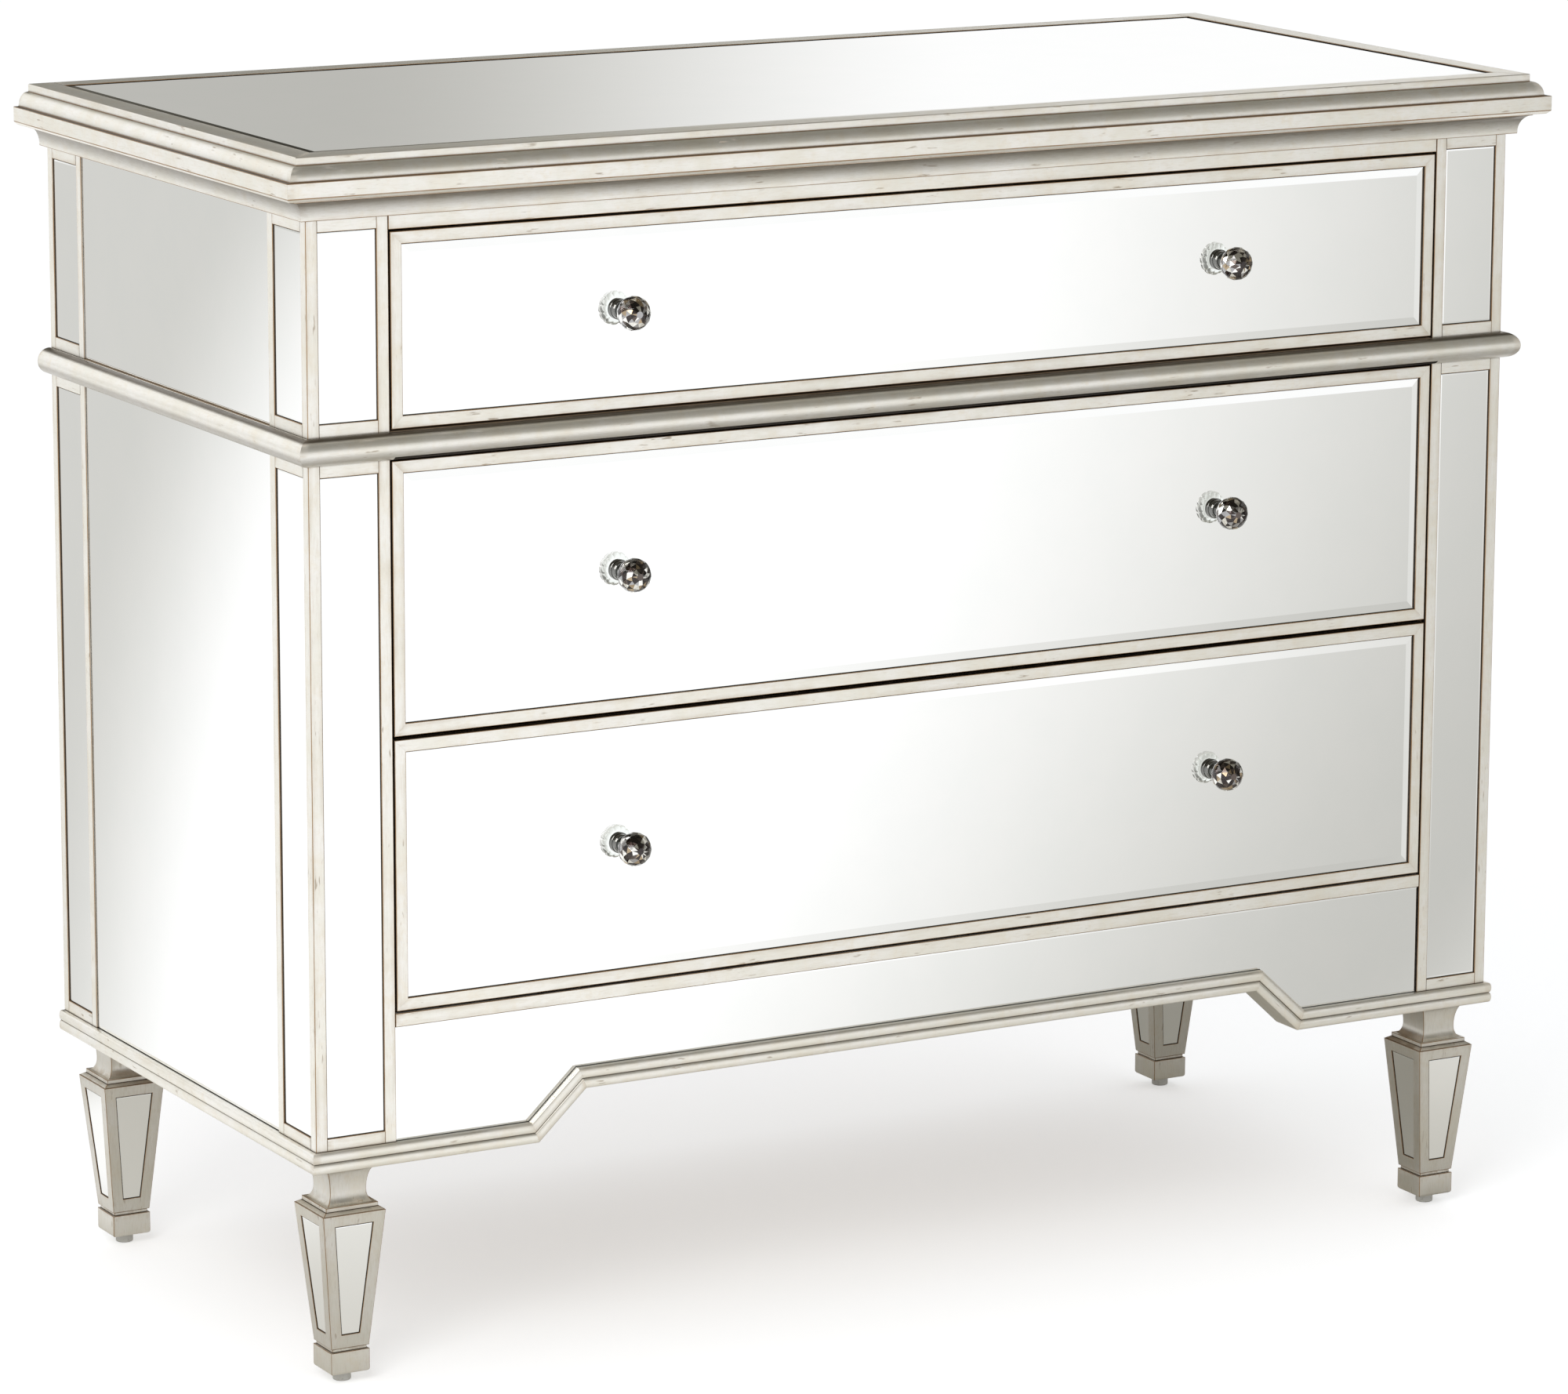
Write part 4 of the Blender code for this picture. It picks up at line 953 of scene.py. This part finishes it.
def make_web_frame(node, slot):
    """A web frame of two rails and two runners, notched round the posts. Where it shows
    as a rail of the case, its front board is silvered."""
    low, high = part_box(node)
    notch = OPENING_HALF_WIDTH - CONTACT_GAP
    runner = OPENING_HALF_WIDTH - RUNNER_REACH
    front = low.y + FRAME_RAIL_WIDTH
    back = high.y - FRAME_RAIL_WIDTH
    front_notch = FRONT_POST_BACK_Y + CONTACT_GAP
    rear_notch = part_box("rear_left_post")[0].y - CONTACT_GAP
    lip = low.y + RECESS_DEPTH
    work = Work()

    def add(left, right, start, stop, grain=ALONG_X, finish=RAW):
        """Adds a board as thick as the frame."""
        work.board((left, start, low.z), (right, stop, high.z), grain, finish)

    add(-notch, notch, low.y, lip, finish=SILVERED if slot == "silver_leaf" else RAW)
    add(-notch, notch, lip + BOARD_GAP, front)
    add(-notch, notch, back, high.y)
    for side in (-1, 1):
        add(side * runner, side * notch, front + BOARD_GAP, back - BOARD_GAP, ALONG_Y)
        add(side * (notch + BOARD_GAP), side * high.x, front_notch, rear_notch, ALONG_Y)
    make_piece(f"{node}_boards", work, PAINTED, "case", (node,))


def make_web_frames():
    """The frames that carry the drawers. The top and the bottom one show as rails."""
    for level in ("top", "waist", "middle", "bottom"):
        make_web_frame(f"{level}_frame", "silver_leaf" if level in ("top", "bottom")
                       else "frame_wood")


def square_rings(centre, profile):
    """Square rings round an upright axis, from (half width, height) points."""
    rings = []
    for half, height in profile:
        rings.append([(centre[0] + across * half, centre[1] + along * half, height)
                      for across, along in ((-1, -1), (1, -1), (1, 1), (-1, 1))])
    return rings


def make_leg(name, centre):
    """A leg in three turnings: the foot and its groove, the tapered body with a recess in
    each face, and the neck on its plate; then the four mirrors in the recesses."""
    foot_top = GLIDE_HEIGHT + FOOT_HEIGHT
    taper_bottom = foot_top + GROOVE_HEIGHT
    taper_top = taper_bottom + TAPER_HEIGHT
    plate_bottom = taper_top + SHOULDER_HEIGHT
    plate_top = plate_bottom + PLATE_HEIGHT
    neck_waist = plate_top + NECK_FOOT_HEIGHT
    neck_head = neck_waist + NECK_HEAD_HEIGHT
    work = Work()

    def turn(profile, glaze=0.0, grain=ALONG_Z):
        """Adds a square turning through a profile, with even brown glaze and painted shade."""
        work.loft(square_rings(centre, profile), grain, glaze=[glaze] * 4 * len(profile))

    foot = arc((FOOT_WIDTH / 2 - FOOT_ROUNDING, GLIDE_HEIGHT + FOOT_ROUNDING),
               (FOOT_ROUNDING, FOOT_ROUNDING), -90, 0, 6)
    turn(foot + [(FOOT_WIDTH / 2, foot_top)], FOOT_GLAZE_SHADE)
    turn([(GROOVE_WIDTH / 2, foot_top + BOARD_GAP),
          (GROOVE_WIDTH / 2, taper_bottom - BOARD_GAP)])
    glass_work = Work()
    make_taper(work, glass_work, centre, taper_bottom, taper_top)
    half = TAPER_TOP_WIDTH / 2
    plate_half = PLATE_WIDTH / 2
    shoulder = [(half - ARRIS, taper_top + BOARD_GAP),
                (plate_half + ARRIS, plate_bottom - BOARD_GAP)]
    # The shoulder takes the legs' brown glaze and painted shade
    work.loft(square_rings(centre, shoulder), ALONG_Z, ends=(SILVERED, GLAZE_SHADED),
              glaze=[LEG_GLAZE_SHADE] * 4)
    turn([(plate_half, plate_bottom), (plate_half, plate_top)], LEG_GLAZE_SHADE, ALONG_X)
    waist_half = NECK_WAIST_WIDTH / 2
    neck = arc((NECK_FOOT_WIDTH / 2, neck_waist),
               (NECK_FOOT_WIDTH / 2 - waist_half, NECK_FOOT_HEIGHT), 270, 180)
    neck += arc((NECK_HEAD_WIDTH / 2, neck_waist),
                (NECK_HEAD_WIDTH / 2 - waist_half, NECK_HEAD_HEIGHT), 180, 90)[1:]
    neck += [(NECK_HEAD_WIDTH / 2, neck_head + NECK_LIP_HEIGHT)]
    turn(neck, LEG_GLAZE_SHADE)
    make_leaf_piece(f"{name}_turned_leg", work, f"{name}_leg")
    make_glass_piece(f"{name}_leg_glass", glass_work)


def make_taper(work, glass_work, centre, bottom, top):
    """The leg's tapered body and the mirror in each of its faces."""
    def half_at(height):
        share = (height - bottom) / (top - bottom)
        return (TAPER_BOTTOM_WIDTH + (TAPER_TOP_WIDTH - TAPER_BOTTOM_WIDTH) * share) / 2

    lower = bottom + LEG_MIRROR_FOOT
    upper = top - LEG_MIRROR_HEAD
    low_reach = half_at(lower) - LEG_MIRROR_BORDER
    high_reach = half_at(upper) - LEG_MIRROR_BORDER
    window = [(-low_reach, lower), (low_reach, lower), (high_reach, upper),
              (-high_reach, upper)]
    ends = square_rings(centre, ((half_at(bottom), bottom), (half_at(top), top)))
    points = ends[0] + ends[1]
    faces = [(3, 2, 1, 0), (4, 5, 6, 7)]
    finishes = [SILVERED] * 2
    for number in range(4):
        turn = Matrix.Rotation(math.radians(90 * number), 4, "Z")

        def place(u, height, rise):
            """A point on the -Y face before it is turned, raised from it."""
            return Vector((*centre, 0)) + turn @ Vector((u, -rise - half_at(height), height))

        following = (number + 1) % 4
        rings = [(number, following, 4 + following, 4 + number)]
        for depth in (0, LEG_RECESS_DEPTH):
            rings.append(range(len(points), len(points) + 4))
            points += [place(u, v, -depth) for u, v in window]
        # The recess walls and the floor behind the mirror take dark painted shade
        for outer, inner, finish in zip(rings, rings[1:], (SILVERED, DARK_SHADED)):
            faces += [(outer[index - 1], outer[index], inner[index], inner[index - 1])
                      for index in range(4)]
            finishes += [finish] * 4
        faces.append(rings[2])
        finishes.append(DARK_SHADED)
        glass(glass_work, inset(window, CONTACT_GAP),
              lambda u, v, w: place(u, v, w - LEG_MIRROR_SETBACK),
              LEG_RECESS_DEPTH - LEG_MIRROR_SETBACK, LEG_MIRROR_BEVEL)
    # Brown glaze and painted shade over the whole tapered body
    work.add(points, faces, finishes, ALONG_Z, glaze=[LEG_GLAZE_SHADE] * len(faces))


def turned_rings(centre, profile, axis, sides=TURNED_SIDES, scallops=0):
    """Round rings about an axis through a centre, from (radius, distance) points. With
    scallops, the rim has as many lobes."""
    rings = []
    for radius, distance in profile:
        ring = []
        for step in range(sides):
            angle = 2 * math.pi * step / sides
            lobe = abs(math.cos(scallops * angle / 2)) if scallops else 1
            reach = radius * (1 - SCALLOP_DEPTH * (1 - lobe) ** 2)
            across, along = reach * math.cos(angle), reach * math.sin(angle)
            offset = (across, along, distance) if axis == "Z" else (across, distance, along)
            ring.append(Vector(centre) + Vector(offset))
        rings.append(ring)
    return rings


def make_legs():
    """The four legs and their glides."""
    for end in ("front", "rear"):
        for side in ("left", "right"):
            low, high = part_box(f"{end}_{side}_glide")
            centre = ((low.x + high.x) / 2, (low.y + high.y) / 2)
            make_leg(f"{end}_{side}", centre)
            radius = (high.x - low.x) / 2
            rounding = radius / 6
            profile = arc((radius - rounding, rounding), (rounding, rounding), -90, 0, 6)
            profile += [(radius, high.z)]
            work = Work()
            work.loft(turned_rings((*centre, 0), profile, "Z"), ALONG_Z)
            make_piece(f"{end}_{side}_foot_glide", work, (GLIDE_PLASTIC,), "case",
                       (f"{end}_{side}_glide",), 0)


def make_drawer_front(name):
    """The drawer's backing board and the mitred frame round its mirror."""
    low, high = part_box(f"{name}_front")
    work = Work()
    corners = [((low.x, low.z), (1, 1)), ((high.x, low.z), (-1, 1)),
               ((high.x, high.z), (-1, -1)), ((low.x, high.z), (1, -1))]
    stations = [((x, low.y, z), (across, 0, up), (0, 1, 0)) for (x, z), (across, up) in corners]
    width = FRONT_FRAME_WIDTH
    profile = [(0, 0), (width, 0), (width, RECESS_DEPTH), (0, RECESS_DEPTH)]
    # The frame's wall round the mirror takes brown glaze with painted shade, its outer edge dark
    # painted shade
    sweep(work, stations + stations[:1], profile, [SILVERED, GLAZE_SHADED, RAW, DARK_SHADED],
          closed=True)
    # The backing board takes dark painted shade, but raw wood at its back
    work.board((low.x, low.y + RECESS_DEPTH + BOARD_GAP, low.z), high, ALONG_X, DARK_SHADED,
               back=RAW)
    make_leaf_piece(f"{name}_framed_front", work, f"{name}_front", name)


def dovetail_outline(low, high, floor, top, tails):
    """The outline (y, z) of a drawer side with dovetails at both ends."""
    pitch = (top - floor) / tails
    neck = pitch * DOVETAIL_NECK
    front = []
    for number in range(tails):
        middle = floor + pitch * (number + 0.5)
        root = pitch / 2 - neck
        front += [(low + BOX_WALL, middle - root + DOVETAIL_FLARE), (low, middle - root),
                  (low, middle + root), (low + BOX_WALL, middle + root - DOVETAIL_FLARE)]
    front = [(low + BOX_WALL, floor), *front, (low + BOX_WALL, top)]
    return front + [(high + low - y, z) for y, z in reversed(front)]


def pin_outlines(low, floor, top, tails, inwards):
    """The outlines (y, z) of the pins that fill the gaps between the tails."""
    pitch = (top - floor) / tails
    neck = pitch * DOVETAIL_NECK
    inner = low + BOX_WALL * inwards
    outlines = []
    for number in range(tails + 1):
        middle = floor + pitch * number
        narrow, wide = ([min(max(middle + way * reach, floor), top) for way in (-1, 1)]
                        for reach in (neck, neck + DOVETAIL_FLARE))
        outlines.append([(low, narrow[0]), (inner, wide[0]), (inner, wide[1]), (low, narrow[1])])
    return outlines


def make_drawer_box(name):
    """The drawer's dovetailed walls and its bottom board."""
    low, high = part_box(f"{name}_box")
    work = Work()
    tails = DOVETAILS if high.z - low.z < SHALLOW_BOX_HEIGHT else DOVETAILS + 1
    outline = dovetail_outline(low.y, high.y, low.z, high.z, tails)
    for side in (-1, 1):
        outer = side * high.x
        inner = outer - side * BOX_WALL
        work.slab(outline, outer, inner, ALONG_Y, lambda u, v, w: (w, u, v))
        for start, inwards in ((low.y, 1), (high.y, -1)):
            for pin in pin_outlines(start, low.z, high.z, tails, inwards):
                work.slab(inset(pin if inwards > 0 else pin[::-1], BOARD_GAP),
                          outer, inner, ALONG_X, lambda u, v, w: (w, u, v))
    inner_x = high.x - BOX_WALL - BOARD_GAP
    for start, stop in ((low.y, low.y + BOX_WALL), (high.y - BOX_WALL, high.y)):
        work.board((-inner_x, start, low.z), (inner_x, stop, high.z), ALONG_X)
    make_piece(f"{name}_dovetailed_box", work, (DRAWER_WOOD,), name,
               (f"{name}_box",), ARRIS / 2)
    low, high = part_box(f"{name}_bottom")
    hidden = BOX_WALL / 2
    work = Work()
    work.board((low.x + hidden, low.y + hidden, low.z), (high.x - hidden, high.y - hidden, high.z),
               ALONG_X)
    make_piece(f"{name}_bottom_board", work, (DRAWER_WOOD,), name,
               (f"{name}_bottom",), 0)


def facet_rows(centre_y, share, turn):
    """Rows of the cut ball, from its table back to its cup: (radius, place, turn)."""
    angles = [math.radians(latitude) for latitude in FACET_LATITUDES] + [-CUP_ANGLE]
    return [(BALL_RADIUS * math.cos(angle) * share,
             centre_y - BALL_HALF_LENGTH * math.sin(angle) * share, turn + (number % 2) / 2)
            for number, angle in enumerate(angles)]


def cut_ball(work, centre, rows):
    """A ball of flat triangular facets, each row turned half a facet on the last."""
    points = []
    faces = []
    for radius, y, turn in rows:
        for step in range(BALL_SIDES):
            angle = 2 * math.pi * (step + turn) / BALL_SIDES
            points.append((centre[0] + radius * math.cos(angle), y,
                           centre[1] + radius * math.sin(angle)))
    for row in range(len(rows) - 1):
        ahead = 1 if rows[row + 1][2] > rows[row][2] else 0
        for step in range(BALL_SIDES):
            this = row * BALL_SIDES + step
            beside = row * BALL_SIDES + (step + 1) % BALL_SIDES
            below = (row + 1) * BALL_SIDES + (step + 1 - ahead) % BALL_SIDES
            beyond = (row + 1) * BALL_SIDES + (step + 2 - ahead) % BALL_SIDES
            faces += [(this, beside, below), (beside, beyond, below)]
    faces.append(tuple(reversed(range(BALL_SIDES))))
    faces.append(tuple(range(len(points) - BALL_SIDES, len(points))))
    work.add(points, faces, [0] * len(faces), ALONG_Y)


def facet_attribute(piece, seed):
    """Gives each facet of a piece its own number from nought to one."""
    dice = random.Random(seed)
    facets = piece.data.attributes.new("facet", "FLOAT", "FACE")
    facets.data.foreach_set("value", [dice.random() for _ in piece.data.polygons])


def make_knob(node, body, seed):
    """A knob in three pieces: the cut ball, with its core of painted reflections, the chrome
    stem with its screw, and the scalloped rosette."""
    low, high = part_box(node)
    centre = ((low.x + high.x) / 2, (low.z + high.z) / 2)
    ball_y = low.y + BALL_HALF_LENGTH
    rosette_y = FRONT_Y + FRONT_MIRROR_SETBACK - CONTACT_GAP

    def add(part, work, material, slot, nodes=(), is_flat=False):
        """Makes one piece of the knob, which the mirrors don't show."""
        piece = make_piece(f"{node}_{part}", work, (material,), body, nodes, 0, is_flat)
        piece.visible_glossy = False
        return piece

    work = Work()
    cut_ball(work, centre, facet_rows(ball_y, 1, 0))
    add("ball", work, CRYSTAL, "crystal_knob", (node,), True)
    # The core's coloured facets are painted reflections of the cut glass, seen through the ball
    work = Work()
    cut_ball(work, centre, facet_rows(ball_y, CORE_SHARE, 0.25))
    facet_attribute(add("core", work, SPARKLE_CORE, "crystal_knob", is_flat=True), seed)

    lip = KNOB_LIP
    cup_y = ball_y + BALL_HALF_LENGTH * math.sin(CUP_ANGLE)
    collar_front = rosette_y - ROSETTE_THICKNESS - 2 * COLLAR_LENGTH
    collar_step = collar_front + COLLAR_LENGTH
    collar_back = collar_step + COLLAR_LENGTH
    head_y = high.y - SCREW_HEAD_THICKNESS
    stem = [(CUP_RADIUS, cup_y + BOARD_GAP), (CUP_RADIUS, cup_y + lip),
            (COLLAR_NECK_RADIUS, cup_y + 3 * lip), (COLLAR_NECK_RADIUS, collar_front),
            (COLLAR_RADIUS - 2 * lip, collar_front), (COLLAR_RADIUS - lip, collar_front + lip),
            (COLLAR_RADIUS - lip, collar_step - lip),
            (COLLAR_RADIUS - 2 * lip, collar_step - lip / 2),
            (COLLAR_RADIUS - lip / 2, collar_step), (COLLAR_RADIUS, collar_step + lip / 2),
            (COLLAR_RADIUS, collar_back - lip), (COLLAR_RADIUS - lip, collar_back),
            (SCREW_RADIUS, collar_back), (SCREW_RADIUS, head_y),
            (SCREW_HEAD_RADIUS, head_y), (SCREW_HEAD_RADIUS, high.y - lip),
            (SCREW_HEAD_RADIUS - lip, high.y)]
    work = Work()
    work.loft(turned_rings((centre[0], 0, centre[1]), stem, "Y"), ALONG_Y)
    add("stem", work, CHROME, "knob_chrome")

    profile = [(ROSETTE_RADIUS * reach, -ROSETTE_THICKNESS * depth)
               for reach, depth in ROSETTE_RIM]
    work = Work()
    work.loft(turned_rings((centre[0], rosette_y, centre[1]), profile, "Y", 12 * SCALLOPS,
                           SCALLOPS), ALONG_Y)
    add("rosette", work, CRYSTAL, "crystal_knob")


def make_drawers():
    """The three drawers with their knobs."""
    for number in (1, 2, 3):
        name = f"drawer_{number}"
        make_drawer_front(name)
        make_drawer_box(name)
        for end, side in enumerate(("left", "right")):
            make_knob(f"{name}_{side}_knob", name, 2 * number + end)


# Studio

def make_camera():
    """The photograph's viewpoint: a long lens from the front left, a little above."""
    azimuth, elevation, roll = (math.radians(value) for value in
                                (CAMERA_AZIMUTH, CAMERA_ELEVATION, CAMERA_ROLL))
    turn = (Matrix.Rotation(-azimuth, 4, "Z") @ Matrix.Rotation(math.pi / 2 + elevation, 4, "X")
            @ Matrix.Rotation(roll, 4, "Z"))
    data = bpy.data.cameras.new("camera")
    data.lens = FOCAL_LENGTH
    data.sensor_width = SENSOR_WIDTH
    data.sensor_fit = "HORIZONTAL"
    data.clip_end = 100
    camera = bpy.data.objects.new("camera", data)
    camera.matrix_world = Matrix.Translation(CAMERA_PLACE) @ turn
    bpy.context.scene.collection.objects.link(camera)
    bpy.context.scene.camera = camera


# How much of the world's light reaches the chest, next to what the camera sees
AMBIENT = 0.66
# Each lamp's name, place, target, size and power
LAMPS = (("key_lamp", (-2.2, -2.0, 2.0), (-0.3, 0, 0.5), 1.6, 34),
         ("fill_lamp", (2.4, -3.2, 2.8), (0.2, 0, 0.5), 2.4, 2))
LAMP_COLOUR = (1.0, 0.985, 0.965)
# Where the bright panel stands, and how far from its middle it starts and is full
PANEL_WAY = (-0.50, 0.80, 0.33)
PANEL_ANGLES = (48, 18)
PANEL_BRIGHTNESS = 0.90
# Bands of the wall by azimuth, in degrees: where each starts, is full, begins to end and
# ends, and how much darker the low wall or brighter the high one is there
FRONT_DIP = (-8, 14, 25.3, 31, 0.5)
RIGHT_DIP = (80, 110, 130, 142, 0.85)
LEFT_DIP = (-60, -35, -18, -8, 0.35)
RIGHT_GLOW = (28, 34, 95, 120, 0.85)
FRONT_NOTCH = (2, 12, 23, 28, -0.13)
HIGH_WALL = 0.17
# The heights between which the low wall gives way to the high one
WALL_RISE = (0.156, 0.26)
# The fans of grey on the floor: the chest's edge that each starts from, and the point that
# its lines come from
FRONT_FAN = (-0.219, (-2.59, 4.18))
LEFT_FAN = (-0.533, (-4.62, 1.524))
# How far the chest's foot reaches from its middle, and where the painted shadow on the
# floor round it ends
FOOT_REACH = (("X", 0.55), ("Y", 0.23))
FOOT_SHADE = (0.28, 0.42)
WARM_GREY = (1, 0.975, 0.86)
BROWN_GREY = (1, 0.93, 0.74)
WHITE = (1, 1, 1)
FLOOR_HALF_WIDTH = 16.0
FLOOR_THICKNESS = 0.02


def shown_share(nodes):
    """One for the rays that show the background: camera, glossy and transmission."""
    path = nodes.add("LightPath").outputs
    glossy = path["Is Glossy Ray"]
    return nodes.most(path["Is Camera Ray"], path["Is Transmission Ray"], glossy), glossy


def make_world():
    """A plain white studio. Metal and glass see it darker overhead and behind, with one
    bright panel behind on the left."""
    world = bpy.data.worlds.new("studio")
    world.use_nodes = True
    world.cycles.sampling_method = "NONE"
    bpy.context.scene.world = world
    nodes = Nodes(world.node_tree)
    shown, glossy = shown_share(nodes)
    way = nodes.add("TexCoord").outputs["Generated"]
    parts = nodes.parts(way)
    height = parts["Z"]
    azimuth = nodes.math("DEGREES", nodes.math("ARCTAN2", parts["X"], parts["Y"]))

    def band(low, high, end_low, end_high, depth):
        """Runs to a depth between two azimuths, and back to nought between two others."""
        return nodes.times(nodes.ramp(azimuth, low, high, 0, depth),
                           nodes.ramp(azimuth, end_low, end_high, 1, 0))

    left_dip = nodes.times(band(*LEFT_DIP), nodes.ramp(height, 0.01, 0.04, 1, 0))
    dips = nodes.plus(band(*FRONT_DIP), band(*RIGHT_DIP), left_dip)
    low_wall = nodes.math("SUBTRACT", 1.0, dips)

    toward_panel = nodes.vector("DOT_PRODUCT", way, Vector(PANEL_WAY).normalized())
    edge, middle = (math.cos(math.radians(angle)) for angle in PANEL_ANGLES)
    panel = nodes.ramp(toward_panel, edge, middle, 0, PANEL_BRIGHTNESS)
    front = nodes.times(nodes.ramp(parts["Y"], 0.3, -0.35),
                        nodes.ramp(azimuth, 138, 157, 0.25, 0.86),
                        nodes.ramp(height, 0.02, 0.45, 1, 0))
    right = nodes.times(band(*RIGHT_GLOW), nodes.ramp(height, 0.3, 0.75, 1, 0))
    notch = nodes.times(band(*FRONT_NOTCH), nodes.ramp(height, 0.45, 0.60, 1, 0))
    high_wall = nodes.plus(panel, front, right, notch, HIGH_WALL)
    rise = nodes.ramp(height, *WALL_RISE)
    mirrored = nodes.mix(rise, low_wall, high_wall)
    tint = nodes.blend(mirrored, nodes.blend(rise, WARM_GREY, BROWN_GREY), WHITE)
    plain = nodes.line(shown, 1 - AMBIENT, AMBIENT)
    background = world.node_tree.nodes["Background"]
    nodes.feed(background, "Strength", nodes.mix(glossy, plain, mirrored))
    nodes.feed(background, "Color", nodes.blend(glossy, WHITE, tint))


def mirrored_floor(nodes):
    """How bright the floor looks in metal and glass, and its tint. In front and on the left
    it greys off along lines that fan out from a point behind the chest, and round the
    chest's foot it is dimmed by a painted shadow."""
    place = nodes.parts(nodes.place())

    def fan(across, away, start, point):
        """How far out a point lies, in units of the fan's depth, and where its line starts
        on the chest."""
        out = nodes.most(nodes.times(nodes.plus(away, -start), -1 / abs(point[1] - start)), 0)
        return out, nodes.math("DIVIDE", nodes.line(out, point[0], across), nodes.plus(out, 1))

    out, across = fan(place["X"], place["Y"], *FRONT_FAN)
    bend = nodes.math("EXPONENT", nodes.line(out, -2.857, 0.557))
    turned = nodes.math("SUBTRACT", across, nodes.line(bend, -0.33, 0.33))
    front = nodes.plus(nodes.ramp(turned, -0.55, 0.50, 1.12, 0.495),
                       nodes.ramp(turned, 0.48, 0.72, 0, 0.24),
                       nodes.ramp(turned, 0.85, 1.40, 0, -0.60))
    front = nodes.most(front, nodes.ramp(place["Y"], -0.30, -0.15, 0, 1.2))

    out, along = fan(place["Y"], place["X"], *LEFT_FAN)
    turned = nodes.plus(along, nodes.line(out, 0.36, -0.17))
    left = nodes.most(nodes.ramp(turned, -0.20, 0.23, 1.1, 0.59),
                      nodes.ramp(place["X"], -0.62, -0.50, 0, 1.2),
                      nodes.ramp(turned, 0.47, 0.85, 0, 1.1))
    far = nodes.math("MINIMUM", nodes.math("MINIMUM", front, left), 1)

    # Round the chest's foot, metal and glass see a painted shadow on the floor
    past = [nodes.most(nodes.plus(nodes.math("ABSOLUTE", place[axis]), -reach), 0)
            for axis, reach in FOOT_REACH]
    distance = nodes.math("SQRT", nodes.plus(*(nodes.times(way, way) for way in past)))
    under = nodes.ramp(place["X"], -0.40, 0.35, 0.50, 0.24)
    ahead = nodes.plus(nodes.ramp(place["X"], -0.30, 0.50, 0.60, 0.49),
                       nodes.ramp(distance, 0, 0.35, 0, 0.16))
    beside = nodes.ramp(place["Y"], -0.05, 0.32, 0.60, 0.93)
    near = nodes.mix(nodes.ramp(place["Y"], -0.20, -0.28), under, ahead)
    near = nodes.mix(nodes.ramp(place["X"], -0.50, -0.58), near, beside)
    share = nodes.ramp(distance, *FOOT_SHADE)
    return nodes.mix(share, near, far), nodes.blend(share, BROWN_GREY, WARM_GREY)


def studio_floor(nodes):
    """White to the camera, and in shades of grey to metal and glass."""
    shown, glossy = shown_share(nodes)
    grey, dim_tint = mirrored_floor(nodes)
    seen = nodes.times(shown, 1.02 - 0.86 * AMBIENT)
    return {"Base Color": nodes.blend(glossy, (0.845, 0.86, 0.875), (0.10, 0.10, 0.10)),
            "Roughness": 0.9, "Specular IOR Level": 0.0,
            "Emission Color": nodes.blend(glossy, WHITE, nodes.blend(grey, dim_tint, WHITE)),
            "Emission Strength": nodes.mix(glossy, seen, grey)}


def make_floor():
    """A wide pale floor that keeps the chest's soft shadow."""
    half = FLOOR_HALF_WIDTH
    work = Work()
    work.board((-half, -half, -FLOOR_THICKNESS), (half, half, 0), ALONG_X)
    mesh = bpy.data.meshes.new("floor")
    mesh.from_pydata(work.points, [], [face[0] for face in work.faces])
    material = make_material("floor", studio_floor, view=(0.9, 0.9, 0.9))
    material.cycles.emission_sampling = "NONE"
    mesh.materials.append(material)
    floor = bpy.data.objects.new("floor", mesh)
    bpy.context.scene.collection.objects.link(floor)


def make_lamp(name, place, target, size, power):
    """A large soft lamp that looks at a target."""
    data = bpy.data.lights.new(name, "AREA")
    data.shape = "SQUARE"
    data.size = size
    data.energy = power
    data.color = LAMP_COLOUR
    lamp = bpy.data.objects.new(name, data)
    way = Vector(target) - Vector(place)
    lamp.location = place
    lamp.rotation_euler = way.to_track_quat("-Z", "Y").to_euler()
    bpy.context.scene.collection.objects.link(lamp)


make_camera()
make_world()
make_floor()
for lamp in LAMPS:
    make_lamp(*lamp)
make_top()
make_mouldings()
make_case()
make_apron()
make_web_frames()
make_legs()
make_mirrors()
make_drawers()

bpy.context.scene.view_settings.view_transform = "Standard"
